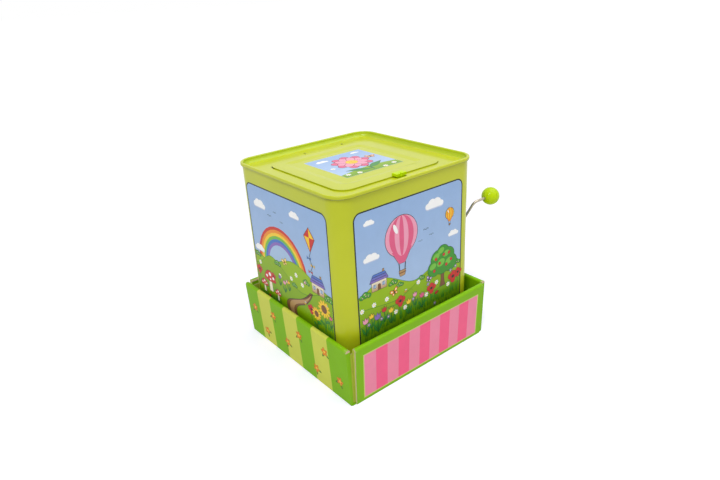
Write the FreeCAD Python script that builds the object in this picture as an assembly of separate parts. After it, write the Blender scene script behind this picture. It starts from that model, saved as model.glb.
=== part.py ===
import FreeCAD, Part
import math
import os
from FreeCAD import Vector

# A tin jack in the box, crank operated, standing in its card display tray.
# Frame: origin on the tray's underside at the tin box's axis, +Z up, front (catch side) -Y,
# crank side +X, lid hinge at +Y. Millimetres.

# Display tray: one card blank, its walls hollow folds that widen upwards; the box stands a little off its middle
tray_room = 4.4
tray_height = 51.0
tray_lean = 2.2
tray_wall = 2.0
tray_floor = 1.0
tray_fold_radius = 1.9
tray_end_setback = 4.4
tray_side_setback = 1.5
tray_shift_x = 1.6
tray_shift_y = -2.3
flap_thick = 0.6
flap_reach = 22.0
flap_drop = 5.0
flap_air = 0.2

# Tin case
case_side = 140.0
case_height = 165.0
case_corner = 14.0
tin = 0.4
rim_overhang = 1.5
rim_height = 3.0
rim_width = 2.4
rim_round = 0.9
top_recess = 5.0
cove_radius = 4.0
base_seam_height = 2.5
base_seam_overhang = 1.0
base_seam_width = 2.8
base_seam_round = 0.8
side_seam_width = 6.0
side_seam_at_x = 40.0

# Lid and its opening in the top
top_margin = 17.0
opening_corner = 12.0
opening_ledge = 2.0
opening_depth = 3.4
lid_stand = 1.0
lid_gap = 0.5
lid_seat_gap = 0.3
lid_skirt_stop = 12.0
picture_side = 85.0
picture_corner = 8.0
picture_slope = 5.0
picture_depth = 0.8

# Lid hinge
hinge_at_x = 11.8
hinge_length = 48.0
hinge_leaf = 0.5
hinge_leaf_depth = 12.0
strap_leaf_depth = 6.0
knuckle_radius = 1.3
knuckle_gap = 0.45
knuckle_rise = 0.3
knuckle_middle = 20.0
knuckle_side_gap = 0.3
hinge_pin_radius = 0.6
running_clearance = 0.05
rivet_from_end = 3.2
rivet_behind_axis = 6.0
rivet_radius = 0.8
rivet_head_radius = 1.3
rivet_head_height = 0.5
rivet_dome_share = 0.8

# Catch on the lid's front edge
catch_at_x = 2.0
catch_width = 10.4
catch_depth = 5.5
catch_inset = 1.5
catch_height = 2.2
catch_notch_width = 3.0
catch_notch_depth = 2.0
catch_round = 0.6
tongue_width = 8.0
tongue_thick = 2.0
tongue_drop = 12.5
tongue_gap = 1.2
tongue_air = 0.8
window_width = 5.0
window_height = 4.5
window_sill = 1.5

# Crank
crank_inset = 32.0
crank_height = 80.5
crank_wire_radius = 1.2
crank_reach_out = 12.0
crank_throw = 44.8
crank_lean_deg = 30.8
crank_handle = 21.7
crank_bend = 4.0
knob_radius = 7.8
knob_bore_depth = 6.0
bush_flange_radius = 5.0
bush_flange = 1.5
bush_radius = 3.2
bush_inside = 3.0
collar_radius = 3.2
collar_width = 2.5

# Musical movement
frame_sheet = 1.0
frame_inset = 14.1
frame_width = 28.5
frame_behind = 8.0
frame_below = 10.5
worm_pitch_radius = 4.0
gear_module = 1.0
gear_teeth = 20
gear_width = 3.0
tooth_reach = 0.8
tooth_root = 1.1
tooth_root_width = 1.5
tooth_tip_width = 0.7
gear_hub_radius = 3.5
worm_turns = 4
worm_tooth_reach = 0.9
worm_tooth_root_width = 1.6
worm_tooth_tip_width = 0.7
worm_tooth_bite = 0.2
axle_radius = 1.5
axle_end = 1.4
clip_radius = 2.8
clip_thick = 0.6
drum_radius = 8.0
drum_length = 19.0
drum_gear_gap = 1.3
pin_radius = 0.35
pin_reach = 0.8
pin_columns = 24
tine_count = 14
tune_steps = ((5, 0), (3, 7))
tine_gap = 0.35
tine_clearance = 0.4
comb_thick = 0.6
comb_margin = 1.2
shelf_reach = 7.0
clamp_height = 2.0
clamp_screw_radius = 1.0
clamp_screw_head = 1.7
clamp_screw_head_height = 1.0
cam_rise = 2.5
cam_inner = 4.5
cam_sweep_deg = 40.0
spacer_gap = 0.3

# Release lever that holds the catch
release_drop = 33.0
release_inset = 12.6
release_radius = 1.5
release_arm_width = 4.0
tooth_height = 2.5
tooth_clearance = 0.3
tooth_depth = 2.4
latch_neck = 7.5
latch_arm_thick = 2.5
latch_hub_radius = 3.6
follower_thick = 2.0
follower_air = 0.4
follower_tip = 4.5
follower_overlap = 1.0
bracket_sheet = 1.0
bracket_height = 12.0
bracket_flange = 7.0
bracket_space = 4.0
torsion_turns = 5
torsion_wire = 0.35
torsion_radius = 2.4
torsion_pitch = 1.3
torsion_space = 5.0

# Pop-up spring, its seat, and the figure
spring_wire = 0.9
spring_bottom_radius = 36.0
spring_top_radius = 22.0
spring_turns = 7
spring_flat_turns = 0.75
spring_ease = 0.25
seat_room = 2.3
seat_ledge = 5.0
seat_sheet = 0.8
seat_lip = 2.5
soft_air = 0.3
sleeve_cloth = 1.3
sleeve_fold = 3.0
sleeve_folds = 6
head_room = 14.0
head_plate_radius = 27.0
head_plate_thick = 3.5
torso_radius = 32.0
torso_height = 34.0
torso_foot = 30.0
torso_belly_share = 0.35
torso_shoulder_share = 0.72
torso_shoulder_radius = 29.0
neck_radius = 20.0
head_radius = 35.0
head_height = 58.0
head_sink = 4.0
muzzle_radius = 14.0
muzzle_reach = 7.0
muzzle_drop = 7.0
nose_radius = 4.2
nose_rise = 4.0
eye_radius = 2.8
eye_spread = 12.5
eye_rise = 8.5
ear_radius = 11.0
ear_thick = 7.0
ear_spread = 23.0
ear_rise = 21.0
arm_length = 26.0
arm_sink = 9.0
arm_forward = 4.0
arm_drop = 11.0
arm_shoulder_radius = 5.0
arm_paw_radius = 7.0
arm_paw_end = 0.7
arm_way = (0.42, -0.34, -0.72)
collar_cloth = 3.5
collar_ruff = 33.0
collar_inside = 6.0
stuffing_shares = (0.0, 0.05, 0.17, 0.33, 0.5, 0.67, 0.83, 0.95, 1.0)
stuffing_end = 0.22

# How finely coils are followed, and how close counts as level
coil_step = 1e-4
coil_steps = 24
level = 1e-6

# Levels and places worked out from the sizes above
tray_side = case_side + 2 * (tray_room + tray_wall)
case_half = case_side / 2
case_bottom = tray_floor
wall_bottom = case_bottom + base_seam_height
rim_top = case_bottom + case_height
rim_bottom = rim_top - rim_height
panel_top = rim_top - top_recess
panel_bottom = panel_top - tin
wall_inside = case_half - tin
opening_half = case_half - top_margin
lid_half = opening_half - lid_gap
lid_top = panel_top + lid_stand
lid_under = lid_top - tin
lid_floor = lid_under - picture_depth
rivet_pitch = hinge_length - 2 * rivet_from_end
hinge_y = opening_half - knuckle_gap - knuckle_radius
hinge_z = lid_under - knuckle_radius + knuckle_rise
lid_back = hinge_y - knuckle_radius - knuckle_gap
opening_back = lid_back + lid_gap
ledge_top = panel_top - opening_depth + tin
catch_front = -lid_half - catch_depth + catch_inset
tongue_back = -opening_half - tongue_gap
tongue_front = tongue_back - tongue_thick
tongue_bottom = lid_top - tongue_drop
window_bottom = tongue_bottom + window_sill
crank_y = crank_inset - case_half
crank_z = case_bottom + crank_height
crank_arm_x = case_half + crank_reach_out
worm_pitch = math.pi * gear_module
gear_pitch_radius = gear_module * gear_teeth / 2
frame_right = wall_inside - frame_inset
frame_left = frame_right - frame_width
frame_back_y = crank_y + frame_behind
frame_bottom = crank_z - frame_below
worm_x = (frame_left + frame_right) / 2
axle_z = crank_z + worm_pitch_radius + gear_pitch_radius
drum_back = crank_y - gear_width / 2 - drum_gear_gap
drum_front = drum_back - drum_length
comb_bottom = axle_z + drum_radius + pin_reach + tine_clearance
frame_top = comb_bottom
release_y = release_inset - wall_inside
release_z = panel_top - release_drop
bracket_left_x = catch_at_x - release_arm_width / 2 - bracket_space - bracket_sheet
bracket_right_x = worm_x + release_arm_width / 2 + bracket_space
torsion_at_x = catch_at_x + torsion_space
base_top = wall_bottom
seat_outer = spring_bottom_radius + spring_wire + seat_room + seat_sheet
seat_inner = spring_bottom_radius - seat_ledge
seat_top = base_top + seat_sheet
spring_foot = seat_top + spring_wire + soft_air / 3
head_bottom = lid_floor - head_room - head_height
plate_top = head_bottom + head_sink - torso_height
plate_bottom = plate_top - head_plate_thick
spring_height = plate_bottom - soft_air - spring_wire - spring_foot
head_middle = head_bottom + head_height / 2

X = Vector(1, 0, 0)
Y = Vector(0, 1, 0)
Z = Vector(0, 0, 1)


def block(x0, x1, y0, y1, z0, z1):
    return Part.makeBox(x1 - x0, y1 - y0, z1 - z0, Vector(x0, y0, z0))


def rod(start, axis, length, radius):
    return Part.makeCylinder(radius, length, start, axis)


def tube(start, axis, length, radius, bore):
    return rod(start, axis, length, radius).cut(rod(start, axis, length, bore))


def fuse_all(shapes):
    return shapes[0].multiFuse(shapes[1:]).removeSplitter()


def line(a, b):
    return Part.LineSegment(a, b).toShape()


def arc(a, middle, b):
    return Part.Arc(a, middle, b).toShape()


def corner_arc(start, end, centre):
    # The quarter arc from start to end about centre
    radius = (start - centre).Length
    way = (start - centre) + (end - centre)
    way.normalize()
    return arc(start, centre + way * radius, end)


def rounded_outline(x0, x1, y0, y1, radius, z):
    r = radius
    edges = []
    corners = [(x1, y0, -1, 1), (x1, y1, -1, -1), (x0, y1, 1, -1), (x0, y0, 1, 1)]
    ends = []
    for index, (x, y, sx, sy) in enumerate(corners):
        along_x = Vector(x + sx * r, y, z)
        along_y = Vector(x, y + sy * r, z)
        first, last = (along_x, along_y) if index % 2 == 0 else (along_y, along_x)
        ends.append((first, last, Vector(x + sx * r, y + sy * r, z)))
    for index, (first, last, centre) in enumerate(ends):
        edges.append(corner_arc(first, last, centre))
        edges.append(line(last, ends[(index + 1) % 4][0]))
    return Part.Wire(edges)


def rounded_block(x0, x1, y0, y1, radius, z0, z1):
    return Part.Face(rounded_outline(x0, x1, y0, y1, radius, z0)).extrude(Z * (z1 - z0))


def square_block(half, radius, z0, z1):
    return rounded_block(-half, half, -half, half, radius, z0, z1)


def square_wire(half, radius, z):
    sides = square_block(half, radius, z, z + 1.0).Faces
    return min(sides, key=lambda side: side.CenterOfMass.z).OuterWire


def case_block(half, z0, z1):
    # A square block whose corners stay concentric with the case's own corners
    return square_block(half, case_corner - case_half + half, z0, z1)


def outline_yz(points, x0, x1):
    wire = Part.makePolygon([Vector(x0, y, z) for y, z in points + points[:1]])
    return Part.Face(wire).extrude(X * (x1 - x0))


def outline_xz(points, y0, y1):
    wire = Part.makePolygon([Vector(x, y0, z) for x, z in points + points[:1]])
    return Part.Face(wire).extrude(Y * (y1 - y0))


def outline_xy(points, z0, z1):
    wire = Part.makePolygon([Vector(x, y, z0) for x, y in points + points[:1]])
    return Part.Face(wire).extrude(Z * (z1 - z0))


def turned(edges, origin, axis):
    return Part.Face(Part.Wire(edges)).revolve(origin, axis, 360)


def round_section(centre, axis, across, radius):
    # A circle of four quarter arcs
    other = axis.cross(across)
    spokes = [across, other, across * -1, other * -1]
    edges = []
    for index, spoke in enumerate(spokes):
        following = spokes[(index + 1) % 4]
        way = spoke + following
        way.normalize()
        edges.append(arc(centre + spoke * radius, centre + way * radius, centre + following * radius))
    return Part.Wire(edges)


def swelling(foot, axis, across, girths):
    # A stuffed form through round sections, each given by its height and radius
    sections = [round_section(foot + axis * height, axis, across, radius) for height, radius in girths]
    return Part.makeLoft(sections, True, False)


def stuffed(foot, axis, across, radius, height):
    # A ball-like stuffed form, its ends drawn in to a small flat
    girths = []
    for share in stuffing_shares:
        lean = abs(2 * share - 1)
        girths.append((height * share, radius * max(stuffing_end, math.sqrt(1 - lean * lean))))
    return swelling(foot, axis, across, girths)


def arc_from(start, tangent, end):
    chord = end - start
    along = Vector(chord)
    along.normalize()
    side = tangent - along * tangent.dot(along)
    if side.Length < level:
        return line(start, end)
    lean = math.atan2(side.Length, tangent.dot(along))
    side.normalize()
    middle = (start + end) * 0.5 + side * (chord.Length / 2 * math.tan(lean / 2))
    return arc(start, middle, end)


def biarc(start, tangent, end, end_tangent):
    chord = end - start
    both = tangent + end_tangent
    spread = 2 * (1 - tangent.dot(end_tangent))
    reach = chord.dot(both)
    if spread < level:
        length = chord.dot(chord) / (4 * chord.dot(end_tangent))
    else:
        length = (-reach + math.sqrt(reach * reach + spread * chord.dot(chord))) / spread
    joint = (start + end + (tangent - end_tangent) * length) * 0.5
    back = arc_from(end, end_tangent * -1, joint)
    return [arc_from(start, tangent, joint), back]


def wound_tube(place, turns, wire_radius, name):
    # One unbroken wire along a coil, in quarter turns; place gives the centre line at a turn
    def heading(turn):
        way = place(turn + coil_step) - place(turn - coil_step)
        way.normalize()
        return way

    quarters = [index / 4 for index in range(int(turns * 4) + 1)]
    edges = []
    for a, b in zip(quarters[:-1], quarters[1:]):
        edges += biarc(place(a), heading(a), place(b), heading(b))
    path = Part.Wire(Part.__sortEdges__(edges))
    section = Part.Wire(Part.makeCircle(wire_radius, place(0), heading(0)))
    shape = path.makePipeShell([section], True, False)
    points = [place(index / coil_steps) for index in range(int(turns * coil_steps) + 1)]
    least = min((points[i] - points[j]).Length
                for i in range(len(points)) for j in range(i + coil_steps // 2, len(points)))
    print(name, "least gap to itself", round(least - 2 * wire_radius, 3), "mm")
    return shape


def bent_wire(points, bend, radius):
    # A round wire along straight runs joined by tangent arcs
    edges = []
    here = points[0]
    for index in range(1, len(points) - 1):
        corner = points[index]
        back = points[index - 1] - corner
        ahead = points[index + 1] - corner
        back.normalize()
        ahead.normalize()
        half_turn = math.acos(max(-1.0, min(1.0, back.dot(ahead)))) / 2
        cut = bend / math.tan(half_turn)
        first = corner + back * cut
        last = corner + ahead * cut
        way = back + ahead
        way.normalize()
        middle = corner + way * (bend / math.sin(half_turn) - bend)
        edges.append(line(here, first))
        edges.append(arc(first, middle, last))
        here = last
    edges.append(line(here, points[-1]))
    path = Part.Wire(edges)
    start = points[1] - points[0]
    start.normalize()
    section = Part.Wire(Part.makeCircle(radius, points[0], start))
    return path.makePipeShell([section], True, False)


def tray_fold():
    # Section of a wall: its inner face stands upright and its outer face leans out
    out = -tray_side / 2
    return [(out, 0.0), (out - tray_lean, tray_height), (out + tray_wall, tray_height), (out + tray_wall, 0.0)]


def tray_wall_front():
    # The front wall, rounded along its top
    half = tray_side / 2 - tray_end_setback
    wall = outline_yz(tray_fold(), -half, half)
    fold = [edge for edge in wall.Edges
            if abs(edge.BoundBox.ZMin - tray_height) < level and edge.BoundBox.XLength > tray_height]
    return wall.makeFillet(tray_fold_radius, fold)


def tray_wall_side():
    # The left wall carries a flap behind each end of the walls beside it
    half = tray_side / 2 - tray_side_setback
    wall = outline_xz(tray_fold(), -half, half)
    fold = [edge for edge in wall.Edges
            if abs(edge.BoundBox.ZMin - tray_height) < level and edge.BoundBox.YLength > tray_height]
    wall = wall.makeFillet(tray_fold_radius, fold)
    flap_top = tray_height - flap_drop
    middle = -tray_side / 2 + tray_wall / 2
    end = -tray_side / 2 + flap_reach
    inside = tray_side / 2 - tray_wall - flap_air
    flaps = [block(middle, end, -inside, -inside + flap_thick, tray_floor, flap_top),
             block(middle, end, inside - flap_thick, inside, tray_floor, flap_top)]
    return fuse_all([wall] + flaps)


def turned_half(shape):
    copy = shape.copy()
    copy.rotate(Vector(0, 0, 0), Z, 180)
    return copy


def display_tray():
    inside = tray_side / 2 - tray_wall / 2
    floor = block(-inside, inside, -inside, inside, 0.0, tray_floor)
    front = tray_wall_front()
    left = tray_wall_side()
    tray = fuse_all([floor, front, turned_half(front), left, turned_half(left)])
    return tray.translated(Vector(tray_shift_x, tray_shift_y, 0))


def side_wrap():
    wall = case_block(case_half, wall_bottom, rim_bottom)
    wall = wall.cut(case_block(wall_inside, wall_bottom, rim_bottom))
    half_seam = side_seam_width / 2
    seam = block(side_seam_at_x - half_seam, side_seam_at_x + half_seam,
                 case_half - tin / 2, case_half + tin, wall_bottom, rim_bottom)
    hole = rod(Vector(wall_inside - tin, crank_y, crank_z), X, 3 * tin, bush_radius)
    return wall.fuse(seam).removeSplitter().cut(hole)


def rim_ring():
    # The curled rim, the recess wall and its cove, as one section carried round the case
    outer = case_half + rim_overhang
    inner = outer - rim_width
    end = inner - cove_radius
    r = rim_round

    def at(x, z):
        return Vector(x, 0, z)

    cove = at(end, panel_top + cove_radius)
    edges = [
        corner_arc(at(end, panel_top), at(inner, panel_top + cove_radius), cove),
        line(at(inner, panel_top + cove_radius), at(inner, rim_top - r)),
        corner_arc(at(inner, rim_top - r), at(inner + r, rim_top), at(inner + r, rim_top - r)),
        line(at(inner + r, rim_top), at(outer - r, rim_top)),
        corner_arc(at(outer - r, rim_top), at(outer, rim_top - r), at(outer - r, rim_top - r)),
        line(at(outer, rim_top - r), at(outer, rim_bottom + r)),
        corner_arc(at(outer, rim_bottom + r), at(outer - r, rim_bottom), at(outer - r, rim_bottom + r)),
        line(at(outer - r, rim_bottom), at(inner + tin, rim_bottom)),
        line(at(inner + tin, rim_bottom), at(inner + tin, panel_top + cove_radius)),
        corner_arc(at(inner + tin, panel_top + cove_radius), at(end, panel_bottom), cove),
        line(at(end, panel_bottom), at(end, panel_top)),
    ]
    section = Part.Face(Part.Wire(edges))
    straight = case_half - case_corner
    runs = []
    for quarter in range(4):
        run = section.copy()
        run.translate(Vector(0, -straight, 0))
        run = run.extrude(Y * (2 * straight))
        bend = section.copy()
        bend.translate(Vector(0, straight, 0))
        bend = bend.revolve(Vector(straight, straight, 0), Z, 90)
        for piece in (run, bend):
            piece.rotate(Vector(0, 0, 0), Z, 90 * quarter)
            runs.append(piece)
    return runs


def top_frame():
    end = case_half + rim_overhang - rim_width - cove_radius
    panel = case_block(end, panel_bottom, panel_top)
    frame = fuse_all(rim_ring() + [panel])
    lip = rounded_block(-opening_half - tin, opening_half + tin, -opening_half - tin, opening_back + tin,
                        opening_corner + tin, panel_top - opening_depth, panel_bottom)
    ledge_inner = opening_half - opening_ledge
    well = rounded_block(-opening_half, opening_half, -opening_half, opening_back,
                         opening_corner, ledge_top, panel_top)
    mouth = rounded_block(-ledge_inner, ledge_inner, -ledge_inner, opening_back - opening_ledge,
                          opening_corner - opening_ledge, panel_top - opening_depth, panel_top)
    # The hinge has a bay of its own at the back
    half_bay = hinge_length / 2 + knuckle_side_gap
    bay = block(hinge_at_x - half_bay, hinge_at_x + half_bay, lid_back - lid_skirt_stop, opening_half,
                panel_top - opening_depth, panel_top)
    half_notch = tongue_width / 2 + tongue_air
    notch = block(catch_at_x - half_notch, catch_at_x + half_notch,
                  tongue_front - tongue_gap, -ledge_inner + tongue_air,
                  panel_top - opening_depth, panel_top)
    frame = frame.fuse(lip).cut(well).cut(mouth).cut(notch).cut(bay)
    for x in rivet_places():
        frame = frame.cut(rod(Vector(x, rivet_y(), panel_bottom), Z, tin, rivet_radius))
    return frame.removeSplitter()


def base_pan():
    outer = case_half + base_seam_overhang
    pan = case_block(outer, case_bottom, wall_bottom)
    edges = [edge for edge in pan.Edges if abs(edge.BoundBox.ZLength) < level]
    pan = pan.makeFillet(base_seam_round, edges)
    return pan.cut(case_block(outer - base_seam_width, case_bottom, wall_bottom - tin))


def rivet_places():
    return [hinge_at_x - rivet_pitch / 2, hinge_at_x + rivet_pitch / 2]


def rivet_y():
    return hinge_y + rivet_behind_axis


def pressed_dish(top):
    half = picture_side / 2
    upper = square_wire(half, picture_corner, top)
    lower = square_wire(half - picture_slope, picture_corner - picture_slope, top - picture_depth)
    return Part.makeLoft([lower, upper], True, True)


def lid_panel():
    back = lid_back
    corner = opening_corner - lid_gap
    plate = rounded_block(-lid_half, lid_half, -lid_half, back, corner, lid_under, lid_top)
    # The picture lies in a shallow pressed dish with sloping sides
    plate = plate.fuse(pressed_dish(lid_under)).cut(pressed_dish(lid_top))
    skirt_bottom = ledge_top + lid_seat_gap
    skirt = rounded_block(-lid_half, lid_half, -lid_half, back, corner, skirt_bottom, lid_under)
    skirt = skirt.cut(rounded_block(-lid_half + tin, lid_half - tin, -lid_half + tin, back - tin,
                                    corner - tin, skirt_bottom, lid_under))
    skirt = skirt.cut(block(-case_half, case_half, back - lid_skirt_stop - knuckle_gap, case_half,
                            skirt_bottom, lid_under))
    return fuse_all([plate, skirt])


def lid_catch():
    left = catch_at_x - catch_width / 2
    right = catch_at_x + catch_width / 2
    back = catch_front + catch_depth
    half_notch = catch_notch_width / 2
    points = [(left, back), (left, catch_front), (catch_at_x - half_notch, catch_front),
              (catch_at_x, catch_front + catch_notch_depth), (catch_at_x + half_notch, catch_front),
              (right, catch_front), (right, back)]
    cap = outline_xy(points, lid_top, lid_top + catch_height)
    edges = [edge for edge in cap.Edges if edge.BoundBox.ZMin > lid_top + catch_height / 2]
    cap = cap.makeFillet(catch_round, edges)
    half = tongue_width / 2
    tongue = block(catch_at_x - half, catch_at_x + half, tongue_front, tongue_back, tongue_bottom, lid_top)
    half = window_width / 2
    window = block(catch_at_x - half, catch_at_x + half, tongue_front, tongue_back,
                   window_bottom, window_bottom + window_height)
    return fuse_all([cap, tongue.cut(window)])


def hinge_bracket():
    left = hinge_at_x - hinge_length / 2
    right = hinge_at_x + hinge_length / 2
    half_middle = knuckle_middle / 2
    leaf = block(left, right, hinge_y, hinge_y + hinge_leaf_depth, panel_bottom - hinge_leaf, panel_bottom)
    room = block(hinge_at_x - half_middle, hinge_at_x + half_middle, hinge_y - knuckle_radius,
                 hinge_y + knuckle_radius + knuckle_gap, panel_bottom - hinge_leaf, panel_bottom)
    side = hinge_length / 2 - half_middle
    knuckles = [rod(Vector(x, hinge_y, hinge_z), X, side, knuckle_radius)
                for x in (left, right - side)]
    bracket = fuse_all([leaf.cut(room)] + knuckles)
    bracket = bracket.cut(rod(Vector(left, hinge_y, hinge_z), X, hinge_length, hinge_pin_radius))
    for x in rivet_places():
        bracket = bracket.cut(rod(Vector(x, rivet_y(), panel_bottom - hinge_leaf), Z, hinge_leaf, rivet_radius))
    return bracket


def hinge_pin():
    return rod(Vector(hinge_at_x - hinge_length / 2, hinge_y, hinge_z), X, hinge_length, hinge_pin_radius)


def hinge_rivets():
    rivets = []
    for x in rivet_places():
        foot = Vector(x, rivet_y(), panel_bottom - hinge_leaf)
        shank = rod(foot, Z, tin + hinge_leaf, rivet_radius)
        head = rod(foot + Z * (tin + hinge_leaf), Z, rivet_head_height, rivet_head_radius)
        rim = [edge for edge in head.Edges if edge.BoundBox.ZMin > panel_top + rivet_head_height / 2]
        head = head.makeFillet(rivet_head_height * rivet_dome_share, rim)
        buck = rod(foot - Z * rivet_head_height, Z, rivet_head_height, rivet_head_radius)
        rivets.append(fuse_all([shank, head, buck]))
    return Part.makeCompound(rivets)


def lid_strap():
    half = knuckle_middle / 2 - knuckle_side_gap
    leaf = block(hinge_at_x - half, hinge_at_x + half, lid_back - strap_leaf_depth, hinge_y,
                 lid_under - hinge_leaf, lid_under)
    # The leaf lies behind the lid's pressed dish and is cut clear of it
    leaf = leaf.cut(square_block(picture_side / 2 + knuckle_gap, picture_corner,
                                 lid_under - hinge_leaf, lid_under))
    start = Vector(hinge_at_x - half, hinge_y, hinge_z)
    knuckle = rod(start, X, 2 * half, knuckle_radius)
    strap = fuse_all([leaf, knuckle])
    return strap.cut(rod(start, X, 2 * half, hinge_pin_radius + running_clearance))


def crank_direction():
    lean = math.radians(crank_lean_deg)
    return Vector(0, -math.sin(lean), math.cos(lean))


def knob_centre():
    return Vector(crank_arm_x + crank_handle, crank_y, crank_z) + crank_direction() * crank_throw


def crank_wire():
    inner = Vector(frame_left - collar_width - spacer_gap - crank_wire_radius, crank_y, crank_z)
    elbow = Vector(crank_arm_x, crank_y, crank_z)
    wrist = elbow + crank_direction() * crank_throw
    end = knob_centre() - X * (knob_radius - knob_bore_depth)
    return bent_wire([inner, elbow, wrist, end], crank_bend, crank_wire_radius)


def crank_knob():
    centre = knob_centre()
    ball = Part.makeSphere(knob_radius, centre)
    end = centre - X * (knob_radius - knob_bore_depth)
    return ball.cut(rod(end - X * (2 * knob_radius), X, 2 * knob_radius, crank_wire_radius))


def crank_bush():
    start = Vector(wall_inside - bush_inside, crank_y, crank_z)
    length = bush_inside + tin
    barrel = rod(start, X, length, bush_radius)
    flange = rod(Vector(case_half, crank_y, crank_z), X, bush_flange, bush_flange_radius)
    bore = rod(start, X, length + bush_flange, crank_wire_radius + running_clearance)
    return fuse_all([barrel, flange]).cut(bore)


def crank_collar():
    start = Vector(frame_left - spacer_gap - collar_width, crank_y, crank_z)
    return tube(start, X, collar_width, collar_radius, crank_wire_radius)


def crank_worm():
    # A single-start thread, its crests half a pitch from the gear tooth that points down at it
    length = worm_turns * worm_pitch
    tip = worm_pitch_radius + worm_tooth_reach
    core = worm_pitch_radius - tooth_reach - spacer_gap
    bite = worm_tooth_bite
    path = Part.makeHelix(worm_pitch, length, core)
    half_root = worm_tooth_root_width / 2
    half_tip = worm_tooth_tip_width / 2
    section = Part.makePolygon([Vector(core - bite, 0, -half_root), Vector(tip, 0, -half_tip),
                                Vector(tip, 0, half_tip), Vector(core - bite, 0, half_root),
                                Vector(core - bite, 0, -half_root)])
    thread = path.makePipeShell([section], True, True)
    body = rod(Vector(0, 0, -half_root - bite), Z, length + worm_tooth_root_width + 2 * bite, core)
    worm = body.fuse(thread)
    worm = worm.cut(rod(Vector(0, 0, -worm_pitch), Z, length + 2 * worm_pitch, crank_wire_radius))
    worm.rotate(Vector(0, 0, 0), Y, 90)
    worm.translate(Vector(worm_x - length / 2, crank_y, crank_z))
    return worm


def drum_gear():
    root = gear_pitch_radius - tooth_root
    tip = gear_pitch_radius + tooth_reach
    points = []
    for tooth in range(gear_teeth):
        middle = -math.pi / 2 + 2 * math.pi * tooth / gear_teeth
        for radius, offset in ((root, -tooth_root_width), (tip, -tooth_tip_width),
                               (tip, tooth_tip_width), (root, tooth_root_width)):
            angle = middle + offset / 2 / radius
            points.append((worm_x + radius * math.cos(angle), axle_z + radius * math.sin(angle)))
    start = crank_y - gear_width / 2
    length = frame_back_y - frame_sheet - spacer_gap - start
    hub = rod(Vector(worm_x, start, axle_z), Y, length, gear_hub_radius)
    wheel = fuse_all([outline_xz(points, start, start + gear_width), hub])
    return wheel.cut(rod(Vector(worm_x, start, axle_z), Y, length, axle_radius))


def drum_axle():
    front = spacer_gap - wall_inside
    length = frame_back_y + axle_end - front
    return rod(Vector(worm_x, front, axle_z), Y, length, axle_radius)


def axle_clip():
    start = Vector(worm_x, frame_back_y + spacer_gap, axle_z)
    return tube(start, Y, clip_thick, clip_radius, axle_radius)


def tune_drum():
    start = Vector(worm_x, drum_front, axle_z)
    drum = rod(start, Y, drum_length, drum_radius)
    pins = []
    pitch = drum_length / (tine_count + 1)
    for column in range(pin_columns):
        for stride, first in tune_steps:
            note = (column * stride + first) % tine_count
            angle = 2 * math.pi * column / pin_columns
            way = Vector(math.cos(angle), 0, math.sin(angle))
            foot = start + Y * (pitch * (note + 1)) + way * (drum_radius - pin_reach)
            pins.append(rod(foot, way, 2 * pin_reach, pin_radius))
    drum = drum.multiFuse(pins)
    return drum.cut(rod(start, Y, drum_length, axle_radius))


def release_cam():
    # A raised sector on the drum's front end, facing down at rest
    start = Vector(worm_x, drum_front - cam_rise, axle_z)
    ring = tube(start, Y, cam_rise, drum_radius, cam_inner)
    half = math.radians(cam_sweep_deg / 2)
    far = 2 * drum_radius
    wedge = [(worm_x, axle_z), (worm_x - far * math.tan(half), axle_z - far),
             (worm_x + far * math.tan(half), axle_z - far)]
    return ring.common(outline_xz(wedge, drum_front - cam_rise, drum_front))


def gear_spacer():
    # The hub that keeps the gear and the drum apart on their axle
    start = Vector(worm_x, drum_back, axle_z)
    return tube(start, Y, drum_gear_gap, gear_hub_radius, axle_radius)


def movement_frame():
    front = -wall_inside
    plates = [
        block(frame_left, frame_right, front, front + frame_sheet, frame_bottom, frame_top),
        block(frame_left, frame_right, frame_back_y - frame_sheet, frame_back_y, frame_bottom, frame_top),
        block(frame_left, frame_left + frame_sheet, front, frame_back_y, frame_bottom, frame_top - drum_radius),
        block(frame_right - frame_sheet, frame_right, front, frame_back_y, frame_bottom, frame_top),
        block(frame_right - shelf_reach, frame_right, drum_front - comb_margin, drum_back + comb_margin,
              frame_top - frame_sheet, frame_top),
    ]
    frame = fuse_all(plates)
    crank_bore = crank_wire_radius + running_clearance
    frame = frame.cut(rod(Vector(frame_left, crank_y, crank_z), X, frame_right - frame_left, crank_bore))
    depth = frame_back_y - front
    frame = frame.cut(rod(Vector(worm_x, front, axle_z), Y, depth, axle_radius + running_clearance))
    for y in clamp_screw_places():
        frame = frame.cut(rod(Vector(clamp_x(), y, frame_top - frame_sheet), Z, frame_sheet, clamp_screw_radius))
    return frame


def clamp_x():
    return frame_right - shelf_reach / 2


def clamp_screw_places():
    middle = (drum_front + drum_back) / 2
    return [middle - drum_length / 4, middle + drum_length / 4]


def comb():
    # Tines reach from the clamped back of the comb to just over the drum's pins
    front = drum_front - comb_margin
    back = drum_back + comb_margin
    root_x = frame_right - shelf_reach
    plate = block(root_x, frame_right, front, back, frame_top, frame_top + comb_thick)
    pitch = drum_length / (tine_count + 1)
    tines = []
    for note in range(tine_count):
        middle = drum_front + pitch * (note + 1)
        half = (pitch - tine_gap) / 2
        tines.append(block(worm_x, root_x + comb_thick, middle - half, middle + half,
                           frame_top, frame_top + comb_thick))
    steel = fuse_all([plate] + tines)
    for y in clamp_screw_places():
        steel = steel.cut(rod(Vector(clamp_x(), y, frame_top), Z, comb_thick, clamp_screw_radius))
    return steel


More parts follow.
